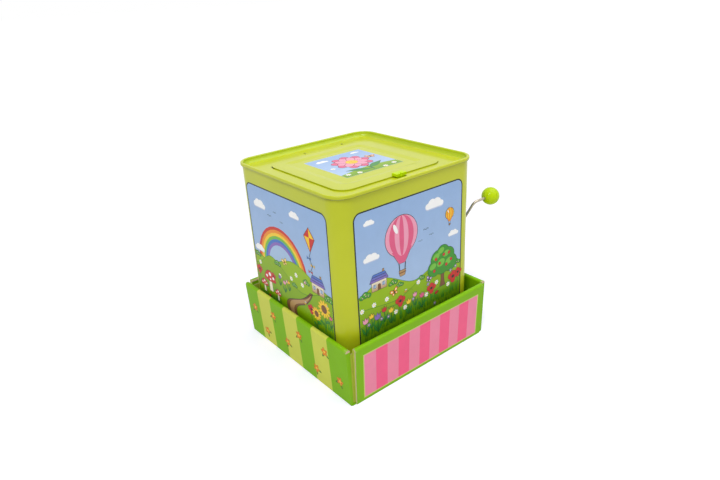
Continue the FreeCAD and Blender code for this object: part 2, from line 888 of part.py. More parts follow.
def comb_clamp():
    front = drum_front - comb_margin
    back = drum_back + comb_margin
    bottom = frame_top + comb_thick
    bar = block(frame_right - shelf_reach + comb_margin, frame_right - comb_margin, front, back,
                bottom, bottom + clamp_height)
    for y in clamp_screw_places():
        bar = bar.cut(rod(Vector(clamp_x(), y, bottom), Z, clamp_height, clamp_screw_radius))
    return bar


def comb_screws():
    screws = []
    length = frame_sheet + comb_thick + clamp_height
    for y in clamp_screw_places():
        foot = Vector(clamp_x(), y, frame_top - frame_sheet)
        shank = rod(foot, Z, length, clamp_screw_radius)
        head = rod(foot + Z * length, Z, clamp_screw_head_height, clamp_screw_head)
        slot = block(clamp_x() - clamp_screw_head, clamp_x() + clamp_screw_head, y - spacer_gap, y + spacer_gap,
                     foot.z + length + clamp_screw_head_height / 2, foot.z + length + clamp_screw_head_height)
        screws.append(fuse_all([shank, head]).cut(slot))
    return Part.makeCompound(screws)


def release_brackets():
    # Two bent ears welded inside the front wall carry the release shaft
    front = -wall_inside
    back = release_y + latch_hub_radius
    bottom = release_z - bracket_height / 2
    top = release_z + bracket_height / 2
    brackets = []
    for x, way in ((bracket_left_x, -1), (bracket_right_x, 1)):
        ear = block(x, x + bracket_sheet, front, back, bottom, top)
        start = x + bracket_sheet - bracket_flange if way < 0 else x
        flange = block(start, start + bracket_flange, front, front + bracket_sheet, bottom, top)
        bore = rod(Vector(x, release_y, release_z), X, bracket_sheet, release_radius + running_clearance)
        brackets.append(fuse_all([ear, flange]).cut(bore))
    return Part.makeCompound(brackets)


def release_shaft():
    start = Vector(bracket_left_x - axle_end, release_y, release_z)
    length = bracket_right_x + bracket_sheet + axle_end - start.x
    return rod(start, X, length, release_radius)


def latch_arm():
    # A plastic arm from the shaft up to a tooth that stands just behind the window of the tongue
    tip = tongue_back + tooth_clearance
    face = tip + tooth_depth
    back = face + latch_arm_thick
    middle = window_bottom + window_height / 2
    half = tooth_height / 2
    x0 = catch_at_x - release_arm_width / 2
    x1 = catch_at_x + release_arm_width / 2
    points = [(release_y - release_radius, release_z), (face, middle - latch_neck), (face, middle - half),
              (tip, middle - half), (tip, middle + half), (back, middle + half),
              (back, middle - latch_neck), (release_y + latch_hub_radius, release_z)]
    arm = outline_yz(points, x0, x1)
    hub = rod(Vector(x0, release_y, release_z), X, release_arm_width, latch_hub_radius)
    return fuse_all([arm, hub]).cut(rod(Vector(x0, release_y, release_z), X, release_arm_width, release_radius))


def follower_arm():
    # The arm that hangs in front of the drum, where the cam can push it forwards
    back = drum_front - cam_rise - follower_air
    front = back - follower_thick
    low = axle_z + cam_inner - follower_overlap
    high = low + follower_tip
    x0 = worm_x - release_arm_width / 2
    x1 = worm_x + release_arm_width / 2
    points = [(release_y - latch_hub_radius, release_z), (front, high), (front, low), (back, low),
              (back, high), (release_y + release_radius, release_z)]
    arm = outline_yz(points, x0, x1)
    hub = rod(Vector(x0, release_y, release_z), X, release_arm_width, latch_hub_radius)
    return fuse_all([arm, hub]).cut(rod(Vector(x0, release_y, release_z), X, release_arm_width, release_radius))


def release_spring():
    def place(turn):
        angle = 2 * math.pi * turn
        return Vector(torsion_at_x + torsion_pitch * turn,
                      release_y + torsion_radius * math.sin(angle),
                      release_z + torsion_radius * math.cos(angle))

    return wound_tube(place, torsion_turns, torsion_wire, "release spring")


def spring_seat():
    ring = tube(Vector(0, 0, base_top), Z, seat_sheet, seat_outer, seat_inner)
    lip = tube(Vector(0, 0, base_top), Z, seat_lip, seat_outer, seat_outer - seat_sheet)
    return fuse_all([ring, lip])


def pop_spring():
    # A tapering coil whose first turn lies flat in the seat
    rising = spring_turns - spring_flat_turns

    def place(turn):
        angle = 2 * math.pi * turn
        lift = max(0.0, turn - spring_flat_turns) / rising
        ease = lift * lift * (3 - 2 * lift) * spring_ease + lift * (1 - spring_ease)
        radius = spring_bottom_radius + (spring_top_radius - spring_bottom_radius) * turn / spring_turns
        return Vector(radius * math.cos(angle), radius * math.sin(angle), spring_foot + spring_height * ease)

    return wound_tube(place, spring_turns, spring_wire, "pop spring")


def sleeve():
    # A gathered cloth tube round the spring, in level folds, closed in at the top round the head plate
    inner = seat_outer + soft_air
    outer = inner + sleeve_cloth
    bottom = base_top
    top = plate_top - soft_air
    collar = head_plate_radius + soft_air
    step = (top - bottom) / sleeve_folds

    def at(r, z):
        return Vector(r, 0, z)

    edges = [line(at(inner, bottom), at(outer, bottom))]
    for fold in range(sleeve_folds):
        low = bottom + step * fold
        edges.append(arc(at(outer, low), at(outer + sleeve_fold, low + step / 2), at(outer, low + step)))
    roof = top - sleeve_cloth
    edges += [line(at(outer, top), at(collar, top)), line(at(collar, top), at(collar, roof)),
              line(at(collar, roof), at(inner, roof)), line(at(inner, roof), at(inner, bottom))]
    return turned(edges, Vector(0, 0, 0), Z)


def head_plate():
    return rod(Vector(0, 0, plate_bottom), Z, head_plate_thick, head_plate_radius)


def head_whole():
    return stuffed(Vector(0, 0, head_bottom), Z, X, head_radius, head_height)


def torso_whole():
    girths = [(0.0, torso_foot), (torso_height * torso_belly_share, torso_radius),
              (torso_height * torso_shoulder_share, torso_shoulder_radius), (torso_height, neck_radius)]
    return swelling(Vector(0, 0, plate_top), Z, X, girths)


def muzzle_centre():
    return Vector(0, muzzle_radius - head_radius - muzzle_reach, head_middle - muzzle_drop)


def muzzle_whole():
    return stuffed(muzzle_centre() - Y * muzzle_radius, Y, X, muzzle_radius, 2 * muzzle_radius)


def nose():
    centre = muzzle_centre() + Z * nose_rise - Y * (muzzle_radius - nose_radius / 2)
    return Part.makeSphere(nose_radius, centre).cut(muzzle_whole()).cut(head_whole())


def eyes():
    head = head_whole()
    girth = head_radius * math.sqrt(1 - (2 * eye_rise / head_height) ** 2)
    pair = []
    for side in (-1, 1):
        y = -math.sqrt(girth ** 2 - eye_spread ** 2)
        pair.append(Part.makeSphere(eye_radius, Vector(side * eye_spread, y, head_middle + eye_rise)).cut(head))
    return Part.makeCompound(pair)


def ear(side):
    centre = Vector(side * ear_spread, 0, head_middle + ear_rise)
    return stuffed(centre - Y * (ear_thick / 2), Y, X, ear_radius, ear_thick).cut(head_whole())


def arm(side):
    # From inside the shoulder out and down to a rounded paw in front
    shoulder = Vector(side * (torso_radius - arm_sink), -arm_forward, plate_top + torso_height - arm_drop)
    way = Vector(side * arm_way[0], arm_way[1], arm_way[2])
    way.normalize()
    across = way.cross(Y)
    across.normalize()
    paw = arm_length - arm_paw_radius
    girths = [(0.0, arm_shoulder_radius), (paw / 2, (arm_shoulder_radius + arm_paw_radius) / 2),
              (paw, arm_paw_radius), (paw + arm_paw_radius * arm_paw_end, arm_paw_radius * arm_paw_end),
              (arm_length, arm_paw_radius * stuffing_end)]
    return swelling(shoulder, way, across, girths).cut(torso_whole()).cut(head_whole())


def collar():
    # A felt ruff round the neck, lying on the shoulders under the head
    z = head_bottom + collar_cloth / 2
    edge = collar_ruff - collar_cloth / 2
    inside = neck_radius - collar_inside

    def at(r, h):
        return Vector(r, 0, h)

    edges = [line(at(inside, z), at(edge, z - collar_cloth)),
             arc(at(edge, z - collar_cloth), at(collar_ruff, z - collar_cloth / 2), at(edge, z)),
             line(at(edge, z), at(inside, z + collar_cloth)),
             line(at(inside, z + collar_cloth), at(inside, z))]
    return turned(edges, Vector(0, 0, 0), Z).cut(torso_whole()).cut(head_whole())


nodes = {
    "display_tray": display_tray(),
    "side_wrap": side_wrap(),
    "top_frame": top_frame(),
    "base_pan": base_pan(),
    "hinge_bracket": hinge_bracket(),
    "hinge_pin": hinge_pin(),
    "hinge_rivets": hinge_rivets(),
    "crank_bush": crank_bush(),
    "movement_frame": movement_frame(),
    "comb": comb(),
    "comb_clamp": comb_clamp(),
    "comb_screws": comb_screws(),
    "release_brackets": release_brackets(),
    "spring_seat": spring_seat(),
    "pop_spring": pop_spring(),
    "sleeve": sleeve(),
    "lid_panel": lid_panel(),
    "lid_strap": lid_strap(),
    "lid_catch": lid_catch(),
    "crank_wire": crank_wire(),
    "crank_knob": crank_knob(),
    "crank_collar": crank_collar(),
    "crank_worm": crank_worm(),
    "drum_axle": drum_axle(),
    "drum_gear": drum_gear(),
    "axle_clip": axle_clip(),
    "gear_spacer": gear_spacer(),
    "tune_drum": tune_drum(),
    "release_cam": release_cam(),
    "release_shaft": release_shaft(),
    "latch_arm": latch_arm(),
    "follower_arm": follower_arm(),
    "release_spring": release_spring(),
    "head_plate": head_plate(),
    "torso": torso_whole().cut(head_whole()),
    "head": head_whole(),
    "muzzle": muzzle_whole().cut(head_whole()),
    "nose": nose(),
    "eyes": eyes(),
    "ear_left": ear(-1),
    "ear_right": ear(1),
    "arm_left": arm(-1),
    "arm_right": arm(1),
    "collar": collar(),
}

os.makedirs("parts", exist_ok=True)
for name, shape in nodes.items():
    solids = shape.Solids
    sound = shape.isValid() and all(solid.isValid() for solid in solids)
    box = shape.BoundBox
    print(name, len(solids), "solid(s)", round(shape.Volume, 1), "mm3", "valid" if sound else "NOT VALID",
          [round(value, 1) for value in (box.XMin, box.XMax, box.YMin, box.YMax, box.ZMin, box.ZMax)])
    whole = solids[0] if len(solids) == 1 else Part.makeCompound(solids)
    whole.exportStep("parts/" + name + ".step")
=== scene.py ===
import random
from math import cos, degrees, pi, radians, sin, sqrt

import bmesh
import bpy
from mathutils import Matrix, Vector, noise


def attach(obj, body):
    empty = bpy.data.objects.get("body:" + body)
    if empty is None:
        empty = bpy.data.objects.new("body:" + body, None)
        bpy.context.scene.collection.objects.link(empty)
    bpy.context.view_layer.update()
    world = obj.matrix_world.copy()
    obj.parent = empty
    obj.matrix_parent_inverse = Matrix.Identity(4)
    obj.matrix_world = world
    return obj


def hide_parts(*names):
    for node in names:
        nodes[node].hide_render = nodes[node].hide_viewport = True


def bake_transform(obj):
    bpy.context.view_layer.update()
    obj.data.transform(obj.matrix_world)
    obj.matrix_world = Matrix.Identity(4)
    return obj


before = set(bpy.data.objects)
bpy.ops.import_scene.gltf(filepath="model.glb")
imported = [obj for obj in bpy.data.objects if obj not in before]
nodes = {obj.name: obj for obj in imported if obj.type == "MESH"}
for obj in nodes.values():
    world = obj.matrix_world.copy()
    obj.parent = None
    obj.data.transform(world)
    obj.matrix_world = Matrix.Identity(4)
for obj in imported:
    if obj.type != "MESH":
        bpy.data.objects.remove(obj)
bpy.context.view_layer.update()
mm = 0.001


def ink(red, green, blue):  # screen colour, 0 to 255, made linear
    def channel(value):
        value = value / 255
        return value / 12.92 if value <= 0.04045 else ((value + 0.055) / 1.055) ** 2.4
    return (channel(red), channel(green), channel(blue), 1.0)


def reckoned(operation, swapped=False):  # an operator between sockets and numbers
    def act(self, other=0.0):
        return self.maths(operation, other, self) if swapped else self.maths(operation, self, other)
    return act


class Wire:  # a node socket that can be reckoned with
    def __init__(self, tree, socket=None):
        self.tree = tree
        self.socket = socket

    def node(self, kind, settings=None, sockets=None, out=0):
        made = self.tree.nodes.new(kind)
        for name, value in (settings or {}).items():
            setattr(made, name, value)
        for name, value in (sockets or {}).items():
            if isinstance(value, Wire):
                self.tree.links.new(value.socket, made.inputs[name])
            else:
                made.inputs[name].default_value = value
        return Wire(self.tree, made.outputs[out])

    def pick(self, out):
        return Wire(self.tree, self.socket.node.outputs[out])

    def into(self, shader, name):
        self.tree.links.new(self.socket, shader.inputs[name])

    def maths(self, operation, first, second=0.0):
        return self.node("ShaderNodeMath", {"operation": operation}, {0: first, 1: second})

    __add__, __radd__ = reckoned("ADD"), reckoned("ADD", True)
    __sub__, __rsub__ = reckoned("SUBTRACT"), reckoned("SUBTRACT", True)
    __mul__, __rmul__ = reckoned("MULTIPLY"), reckoned("MULTIPLY", True)
    __gt__, __lt__, __abs__ = reckoned("GREATER_THAN"), reckoned("LESS_THAN"), reckoned("ABSOLUTE")

    def most(self, *others):  # the largest of these values
        largest = self
        for other in others:
            largest = self.maths("MAXIMUM", largest, other)
        return largest

    def mixed(self, first, second):  # first where this is 0, second where it is 1
        return self.node("ShaderNodeMix", {"data_type": "RGBA"}, {0: self, 6: first, 7: second}, 2)

    def ramp(self, low, high):  # 0 below low, 1 above high
        return self.node("ShaderNodeMapRange", {"interpolation_type": "SMOOTHSTEP"},
                         {"Value": self, "From Min": low, "From Max": high})

    def brightness(self, colour):  # the colour times this value
        return self.node("ShaderNodeHueSaturation", None, {"Color": colour, "Value": self})

    def bump(self, distance, strength=1.0):
        return self.node("ShaderNodeBump", None, {"Height": self, "Distance": distance, "Strength": strength})

    def axes(self):
        parts = self.node("ShaderNodeSeparateXYZ", None, {0: self})
        return parts, parts.pick("Y"), parts.pick("Z")

    def stretched(self, scale):
        return self.node("ShaderNodeMapping", None, {"Vector": self, "Scale": scale})

    def grain(self, perMm, detail=3.0, rough=0.55):
        return self.node("ShaderNodeTexNoise", None,
                         {"Vector": self, "Scale": perMm, "Detail": detail, "Roughness": rough}, "Fac")


def added(name, data):
    thing = bpy.data.objects.new(name, data)
    bpy.context.collection.objects.link(thing)
    return thing


def addedMesh(name, bm, material):
    mesh = bpy.data.meshes.new(name)
    bm.to_mesh(mesh)
    bm.free()
    mesh.materials.append(material)
    return added(name, mesh)


def newFinish(name, fixed):  # with its Object coordinates in millimetres
    material = bpy.data.materials.new(name)
    material.use_nodes = True
    shader = material.node_tree.nodes["Principled BSDF"]
    for socket, value in fixed.items():
        shader.inputs[socket].default_value = value
    metres = Wire(material.node_tree).node("ShaderNodeTexCoord", out="Object")
    place = metres.node("ShaderNodeVectorMath", {"operation": "SCALE"}, {0: metres, "Scale": 1 / mm})
    return material, shader, place


# Camera, floor and lights
studio = {
    "azimuth": -38.07, "elevation": 23.92, "roll": -3.214, "focalPixels": 562.52, "frameWidth": 720,
    "eye": (-0.2759, -0.3560, 0.2914), "filmWidth": 36.0,
    "floorSize": 40.0, "floorColour": ink(240, 240, 238), "floorSeen": ink(228, 225, 245), "floorGlow": 0.37,
    "floorNear": (220.0, 480.0), "floorLevel": -0.0002, "skyLight": 0.4,
    "lamps": [
        ("keySoftbox", (-0.7, -0.38, 1.25), 0.45, 9.2),
        ("fillSoftbox", (0.5, -1.15, 0.9), 0.9, 1.6),
        ("topSoftbox", (0.5, -0.25, 1.4), 1.2, 8.6),
    ],
    "aim": (0.0, 0.0, 0.08),
}


def setCamera():
    azimuth = radians(studio["azimuth"])
    elevation = radians(studio["elevation"])
    roll = radians(studio["roll"])
    back = Vector((sin(azimuth) * cos(elevation), -cos(azimuth) * cos(elevation),
                   sin(elevation)))
    right = (-back).cross(Vector((0, 0, 1))).normalized()
    up = right.cross(-back)
    sideways = cos(roll) * right + sin(roll) * up
    upright = -sin(roll) * right + cos(roll) * up
    lens = bpy.data.cameras.new("photoCamera")
    lens.sensor_fit = "HORIZONTAL"
    lens.sensor_width = studio["filmWidth"]
    lens.lens = studio["focalPixels"] / studio["frameWidth"] * studio["filmWidth"]
    lens.clip_start = 0.01
    camera = added("photoCamera", lens)
    turn = Matrix((sideways, upright, back)).transposed().to_4x4()
    camera.matrix_world = Matrix.Translation(studio["eye"]) @ turn
    bpy.context.scene.camera = camera


def seenStraightOn(wire):  # 1 for what the camera sees, directly, mirrored or through something clear
    light = wire.node("ShaderNodeLightPath", out="Is Camera Ray")
    return light.most(light.pick("Is Glossy Ray"), light.pick("Is Transmission Ray"))


def setLights():
    for name, spot, size, power in studio["lamps"]:
        lamp = bpy.data.lights.new(name, "AREA")
        lamp.size = size
        lamp.energy = power
        holder = added(name, lamp)
        aim = Vector(studio["aim"]) - Vector(spot)
        holder.matrix_world = Matrix.Translation(spot) @ aim.to_track_quat("-Z", "Y").to_matrix().to_4x4()
    world = bpy.data.worlds.new("studioWorld")
    world.use_nodes = True
    wire = Wire(world.node_tree)
    strength = studio["skyLight"] + seenStraightOn(wire) * (1 - studio["skyLight"])
    backdrop = world.node_tree.nodes["Background"]
    backdrop.inputs["Color"].default_value = (1, 1, 1, 1)
    strength.into(backdrop, "Strength")
    bpy.context.scene.world = world


def layFloor():
    bm = bmesh.new()
    bmesh.ops.create_grid(bm, x_segments=1, y_segments=1, size=studio["floorSize"] / 2)
    bmesh.ops.translate(bm, verts=bm.verts, vec=(0, 0, studio["floorLevel"]))
    fixed = {"Roughness": 0.9, "Emission Color": (1, 1, 1, 1)}
    material, shader, place = newFinish("floorPaper", fixed)
    away = place.node("ShaderNodeVectorMath", {"operation": "LENGTH"}, {0: place}, "Value")
    seen = place.node("ShaderNodeLightPath", out="Is Camera Ray")
    white = away.ramp(*studio["floorNear"]) * seenStraightOn(place)
    paper = seen.mixed(studio["floorColour"], studio["floorSeen"])  # evens out the toy's green glow
    white.mixed(paper, (0, 0, 0, 1)).into(shader, "Base Color")
    (white + (1.0 - white) * seen * studio["floorGlow"]).into(shader, "Emission Strength")
    floor = addedMesh("studioFloor", bm, material)


bpy.context.scene.view_settings.view_transform = "Standard"
setCamera()
setLights()
layFloor()
print("camera, lights and floor set")


# Finishes
# the rim ink is painted shade: a deeper green for the inner wall of the rim, standing for the shade in the
# recess
tinLook = {"lime": ink(195, 202, 34), "deep": ink(187, 196, 20), "rim": ink(178, 200, 0),
           "bare": ink(186, 184, 176), "rimInside": 161.6, "rimInward": -25.0, "inward": -20.0,
           "baseHalf": 69.4, "lacquerDistance": 0.00004}
lacquer = {"Coat Roughness": 0.12, "Coat IOR": 1.45}


def limeTin(name, topLevel):  # printed outside, bare within; above topLevel print turns inwards
    material, shader, place = newFinish(name, {**lacquer, "Specular IOR Level": 0.25})
    facingX, facingY, facingZ = place.node("ShaderNodeTexCoord", out="Normal").axes()
    x, y, z = place.axes()
    outward = facingX * x + facingY * y
    within = (outward < tinLook["inward"]) * (z < topLevel)
    beneath = (facingZ < -0.6) * (abs(x).most(abs(y)) < tinLook["baseHalf"])
    bare = within.most(beneath)
    cloudy = place.grain(0.035, 4.0)
    speck = place.grain(2.2, 2.0)
    # tone mixes random clouding and speckle with painted shade: faces turned downwards, as under the rim, are
    # darkened by up to 0.6
    tone = (0.955 + cloudy * 0.07 + speck * 0.02) * (1.0 - facingZ.ramp(-0.05, -0.6) * 0.6)
    drift = place.grain(0.012, 2.0).ramp(0.3, 0.75).mixed(tinLook["lime"], tinLook["deep"])
    # painted shade: the rim's inner wall above the top panel is mixed towards the deeper rim green
    rimWall = (outward < tinLook["rimInward"]) * (z > tinLook["rimInside"])
    printed = tone.brightness((rimWall * 0.85).mixed(drift, tinLook["rim"]))
    rolled = place.stretched((1, 1, 0.02)).grain(3.0, 2.0)
    metal = (0.85 + rolled * 0.25).brightness(tinLook["bare"])
    bare.mixed(printed, metal).into(shader, "Base Color")
    (bare * 0.92).into(shader, "Metallic")
    (0.3 + place.grain(0.3) * 0.1 + bare * 0.08).into(shader, "Roughness")
    (0.35 - bare * 0.35).into(shader, "Coat Weight")
    dents = place.grain(0.045, 1.0) * 6.0 + place.grain(1.4, 2.0) * 0.35
    dents.bump(tinLook["lacquerDistance"]).into(shader, "Normal")
    return material


def lithoPrint(name, coat):  # inks carried by the shapes, under a clear lacquer
    fixed = {**lacquer, "Coat Weight": coat, "Specular IOR Level": 0.12}
    material, shader, place = newFinish(name, fixed)
    inks = place.node("ShaderNodeAttribute", {"attribute_name": "ink"}, None, "Color")
    wash = place.grain(0.12, 4.0)
    dots = place.node("ShaderNodeTexVoronoi", None, {"Vector": place, "Scale": 2.6}, "Distance")
    tone = 0.93 + wash * 0.11 + dots * 0.03
    tone.brightness(inks).into(shader, "Base Color")
    (0.34 + place.grain(0.3) * 0.1).into(shader, "Roughness")
    (place.grain(0.045, 1.0) * 6.0).bump(tinLook["lacquerDistance"]).into(shader, "Normal")
    return material


cardLook = {"green": ink(127, 185, 0), "lime": ink(208, 214, 84), "flap": ink(188, 200, 70),
            "raw": ink(205, 186, 150), "under": ink(196, 188, 172), "middle": (1.6, -2.3), "foot": 76.4,
            "lean": 2.2 / 51, "frontEnd": 72.0, "sideInner": 74.4, "sideEnd": 74.9, "flapFace": 73.9,
            "top": 51.0, "stripePhase": 1.5, "stripeStep": 20.9, "stripeHalf": 10.6, "stripeReach": 62.0,
            "wornFrom": (69.5, 71.5, 48.0), "wornEdge": 50.6}


def trayCard(name):  # printed card: striped side walls, cut edges bare at the ends of the front and back
    material, shader, place = newFinish(name, {"Specular IOR Level": 0.2})
    x, y, z = place.axes()
    u = x - cardLook["middle"][0]
    v = y - cardLook["middle"][1]
    facingX, facingY, facingZ = place.node("ShaderNodeTexCoord", out="Normal").axes()
    fibre = place.stretched((1, 1, 0.35)).grain(1.6, 5.0)
    mottle = place.grain(0.06, 3.0)
    outward = place.maths("SIGN", u)
    along = v * outward * -1.0
    phase = place.maths("PINGPONG", along - cardLook["stripePhase"], cardLook["stripeStep"])
    outside = (facingX * outward > 0.3).most(facingZ > 0.2)
    sideWall = (abs(along) < cardLook["stripeReach"]) * (abs(u) > cardLook["sideInner"] - 0.1)
    stripe = (phase < cardLook["stripeHalf"]) * sideWall * outside * (abs(facingY) < 0.7)
    tone = 0.93 + mottle * 0.1 + fibre * 0.04
    printed = tone.brightness(stripe.mixed(cardLook["green"], cardLook["lime"]))
    flap = (abs(abs(v) - cardLook["flapFace"]) < 0.42) * (abs(u) < cardLook["sideInner"] + 0.2)
    frontEnd = (abs(facingX) > 0.9) * (abs(abs(u) - cardLook["frontEnd"]) < 0.4)
    pale = (flap * (z < cardLook["top"] - 4.0) * (z > 1.2)).most(frontEnd)
    printed = pale.mixed(printed, tone.brightness(cardLook["flap"]))
    outerFace = abs(v) - cardLook["foot"] - z * cardLook["lean"]
    lip = (abs(facingY) > 0.6) * (abs(abs(v) - cardLook["sideEnd"]) < 0.5) * (z > cardLook["top"] - 2.2)
    flapTop = (facingZ > 0.9) * (abs(z - cardLook["top"] + 5.0) < 0.3)
    scuffs = place.grain(0.9, 4.0) > 0.53
    for reach, level in zip((abs(u), abs(v), z), cardLook["wornFrom"]):
        scuffs = (reach - level).ramp(0.0, 3.0) * scuffs
    worn = (z - cardLook["wornEdge"]).ramp(0.0, 0.3) * (place.grain(0.5, 5.0) > 0.68) * 0.5
    cut = (frontEnd * (outerFace > -1.5)).most(lip, flapTop, scuffs, worn)
    under = (facingZ < -0.9) * (z < 0.5)
    printed = under.mixed(printed, (0.85 + fibre * 0.3).brightness(cardLook["under"]))
    cut.mixed(printed, (0.8 + fibre * 0.4).brightness(cardLook["raw"])).into(shader, "Base Color")
    (0.42 + fibre * 0.16 + cut * 0.3).into(shader, "Roughness")
    (fibre * 0.4 + mottle * 3.0).bump(0.00005).into(shader, "Normal")
    return material


def plainMetal(name, colour, rough, streaks=(1, 1, 1), shade=0.18):
    material, shader, place = newFinish(name, {"Metallic": 1.0})
    drawn = place.stretched(streaks).grain(2.5, 4.0)
    tarnish = place.grain(0.15, 3.0)
    (1.0 - shade + drawn * shade + tarnish * shade).brightness(colour).into(shader, "Base Color")
    (rough + drawn * 0.12 + tarnish * 0.06).into(shader, "Roughness")
    drawn.bump(0.00002, 0.5).into(shader, "Normal")
    return material


def paintedRivet(name, spots):  # lime heads, dark in the middle
    material, shader, place = newFinish(name, {"Specular IOR Level": 0.35})
    x, y, z = place.axes()
    near = 1.0
    for spotX, spotY in spots:
        away = place.maths("SQRT", (x - spotX) * (x - spotX) + (y - spotY) * (y - spotY))
        near = away.ramp(0.75, 1.15) * near
    grain = place.grain(1.5, 3.0)
    (0.85 + grain * 0.25).brightness(near.mixed(ink(34, 33, 24), tinLook["deep"])).into(shader, "Base Color")
    (0.3 + grain * 0.15).into(shader, "Roughness")
    grain.bump(0.00002).into(shader, "Normal")
    return material


def mouldedPlastic(name, colour, rough, coat=0.0, seamAt=None):  # seamAt is the x of a mould parting line
    fixed = {"Coat Weight": coat, "Coat Roughness": 0.06, "Specular IOR Level": 0.1}
    material, shader, place = newFinish(name, fixed)
    swirl = place.grain(0.12, 3.0)
    pits = place.grain(1.8, 3.0)
    (0.975 + swirl * 0.05).brightness(colour).into(shader, "Base Color")
    (rough + pits * 0.06 + swirl * 0.05).into(shader, "Roughness")
    height = pits * 0.05
    if seamAt is not None:
        x, y, z = place.axes()
        height = height + (1.0 - abs(x - seamAt).ramp(0.05, 0.22)) * 2.0
    height.bump(0.00003).into(shader, "Normal")
    return material


def shortPile(name, colour, tip, pile):  # plush: clumped fibres with paler tips
    fixed = {"Roughness": 0.95, "Sheen Weight": 0.5, "Sheen Roughness": 0.45, "Sheen Tint": tip,
             "Specular IOR Level": 0.15}
    material, shader, place = newFinish(name, fixed)
    drift = place.node("ShaderNodeTexNoise", None, {"Vector": place, "Scale": 0.12}, "Color")
    bent = place.node("ShaderNodeVectorMath", {"operation": "ADD"}, {0: place, 1: drift})
    fibres = bent.stretched((1, 1, 0.45)).grain(pile, 3.0, 0.7)
    clumps = place.node("ShaderNodeTexVoronoi", {"feature": "SMOOTH_F1"}, {"Vector": bent, "Scale": 0.55},
                       "Distance")
    seam = place.node("ShaderNodeAttribute", {"attribute_name": "seam"}, None, "Fac")
    # painted shade: the colour is darkened by half along the sewn seams, standing for the shade in their
    # grooves
    tone = (0.8 + clumps * 0.3) * (1.0 - seam * 0.5)
    tone.brightness(fibres.ramp(0.32, 0.68).mixed(colour, tip)).into(shader, "Base Color")
    (fibres * 0.9 + clumps * 1.1 - seam * 1.2).bump(0.0008, 0.95).into(shader, "Normal")
    return material


def wovenCloth(name, colour, second, threadsRound, threadsUp):  # threads counted as turns of phase over the map
    fixed = {"Roughness": 0.85, "Sheen Weight": 0.25, "Specular IOR Level": 0.2}
    material, shader, place = newFinish(name, fixed)
    chart = place.node("ShaderNodeUVMap", {"uv_map": "weave"}, None, "UV")
    u, v, w = chart.axes()
    warp = place.maths("SINE", u * threadsRound)
    weft = place.maths("SINE", v * threadsUp)
    over = warp * weft
    slub = place.grain(0.3, 4.0)
    (0.85 + over * 0.08 + slub * 0.25).brightness((over > 0.0).mixed(colour, second)).into(shader, "Base Color")
    (over + abs(warp) + abs(weft)).bump(0.00008, 0.6).into(shader, "Normal")
    return material


def woolFelt(name, colour):
    fixed = {"Roughness": 0.95, "Sheen Weight": 0.4, "Specular IOR Level": 0.1}
    material, shader, place = newFinish(name, fixed)
    matted = place.grain(1.3, 6.0, 0.7)
    drift = place.grain(0.15, 3.0)
    (0.8 + matted * 0.3 + drift * 0.12).brightness(colour).into(shader, "Base Color")
    matted.bump(0.0003, 0.8).into(shader, "Normal")
    return material


finishes = {}
for make, rows in (
        (limeTin, (("caseTin", 160.4), ("topTin", 160.4), ("lidTin", 160.9), ("baseTin", 2.0))),
        (lithoPrint, (("panelPrint", 0.3), ("cardPrint", 0.1))),
        (trayCard, (("trayCard",),)),
        (plainMetal, (("platedSteel", ink(176, 176, 174), 0.32), ("springSteel", ink(150, 148, 146), 0.3),
                      ("nickelWire", ink(186, 176, 160), 0.16),
                      ("brass", ink(206, 172, 96), 0.26, (1, 0.1, 1)))),
        (paintedRivet, (("paintedRivet", ((-9.0, 57.25), (32.6, 57.25))),)),
        (mouldedPlastic, (("bushPlastic", ink(168, 196, 40), 0.4), ("gearPlastic", ink(232, 228, 214), 0.45),
                          ("catchPlastic", ink(192, 222, 0), 0.3, 0.12),
                          ("blackBead", ink(18, 16, 15), 0.12, 0.8),
                          ("knobPlastic", ink(184, 212, 0), 0.2, 0.15, 103.7))),
        (shortPile, (("honeyPile", ink(150, 96, 46), ink(206, 152, 92), 2.6),
                     ("creamPile", ink(214, 190, 150), ink(246, 230, 200), 2.8))),
        (wovenCloth, (("sleeveCotton", ink(58, 108, 178), ink(74, 124, 192), 2800.0, 820.0),)),
        (woolFelt, (("fibreboard", ink(150, 112, 72)), ("redFelt", ink(196, 40, 40)),
                    ("mouthThread", ink(52, 32, 22))))):
    for row in rows:
        finishes[row[0]] = make(*row)
wornBy = {
    "trayCard": "display_tray", "caseTin": "side_wrap", "topTin": "top_frame hinge_bracket",
    "baseTin": "base_pan", "lidTin": "lid_panel lid_strap", "catchPlastic": "lid_catch",
    "paintedRivet": "hinge_rivets",
    "platedSteel": "hinge_pin movement_frame comb_screws drum_axle release_brackets release_shaft spring_seat",
    "bushPlastic": "crank_bush", "nickelWire": "crank_wire", "knobPlastic": "crank_knob",
    "brass": "crank_collar crank_worm comb_clamp tune_drum",
    "springSteel": "comb axle_clip release_spring pop_spring",
    "gearPlastic": "drum_gear gear_spacer release_cam latch_arm follower_arm", "fibreboard": "head_plate",
    "blackBead": "nose eyes", "sleeveCotton": "sleeve", "creamPile": "muzzle", "redFelt": "collar",
    "honeyPile": "torso head ear_left ear_right arm_left arm_right",
}
for finish, names in wornBy.items():
    for node in names.split():
        nodes[node].data.materials.clear()
        nodes[node].data.materials.append(finishes[finish])
print("finishes on", len(nodes), "nodes")


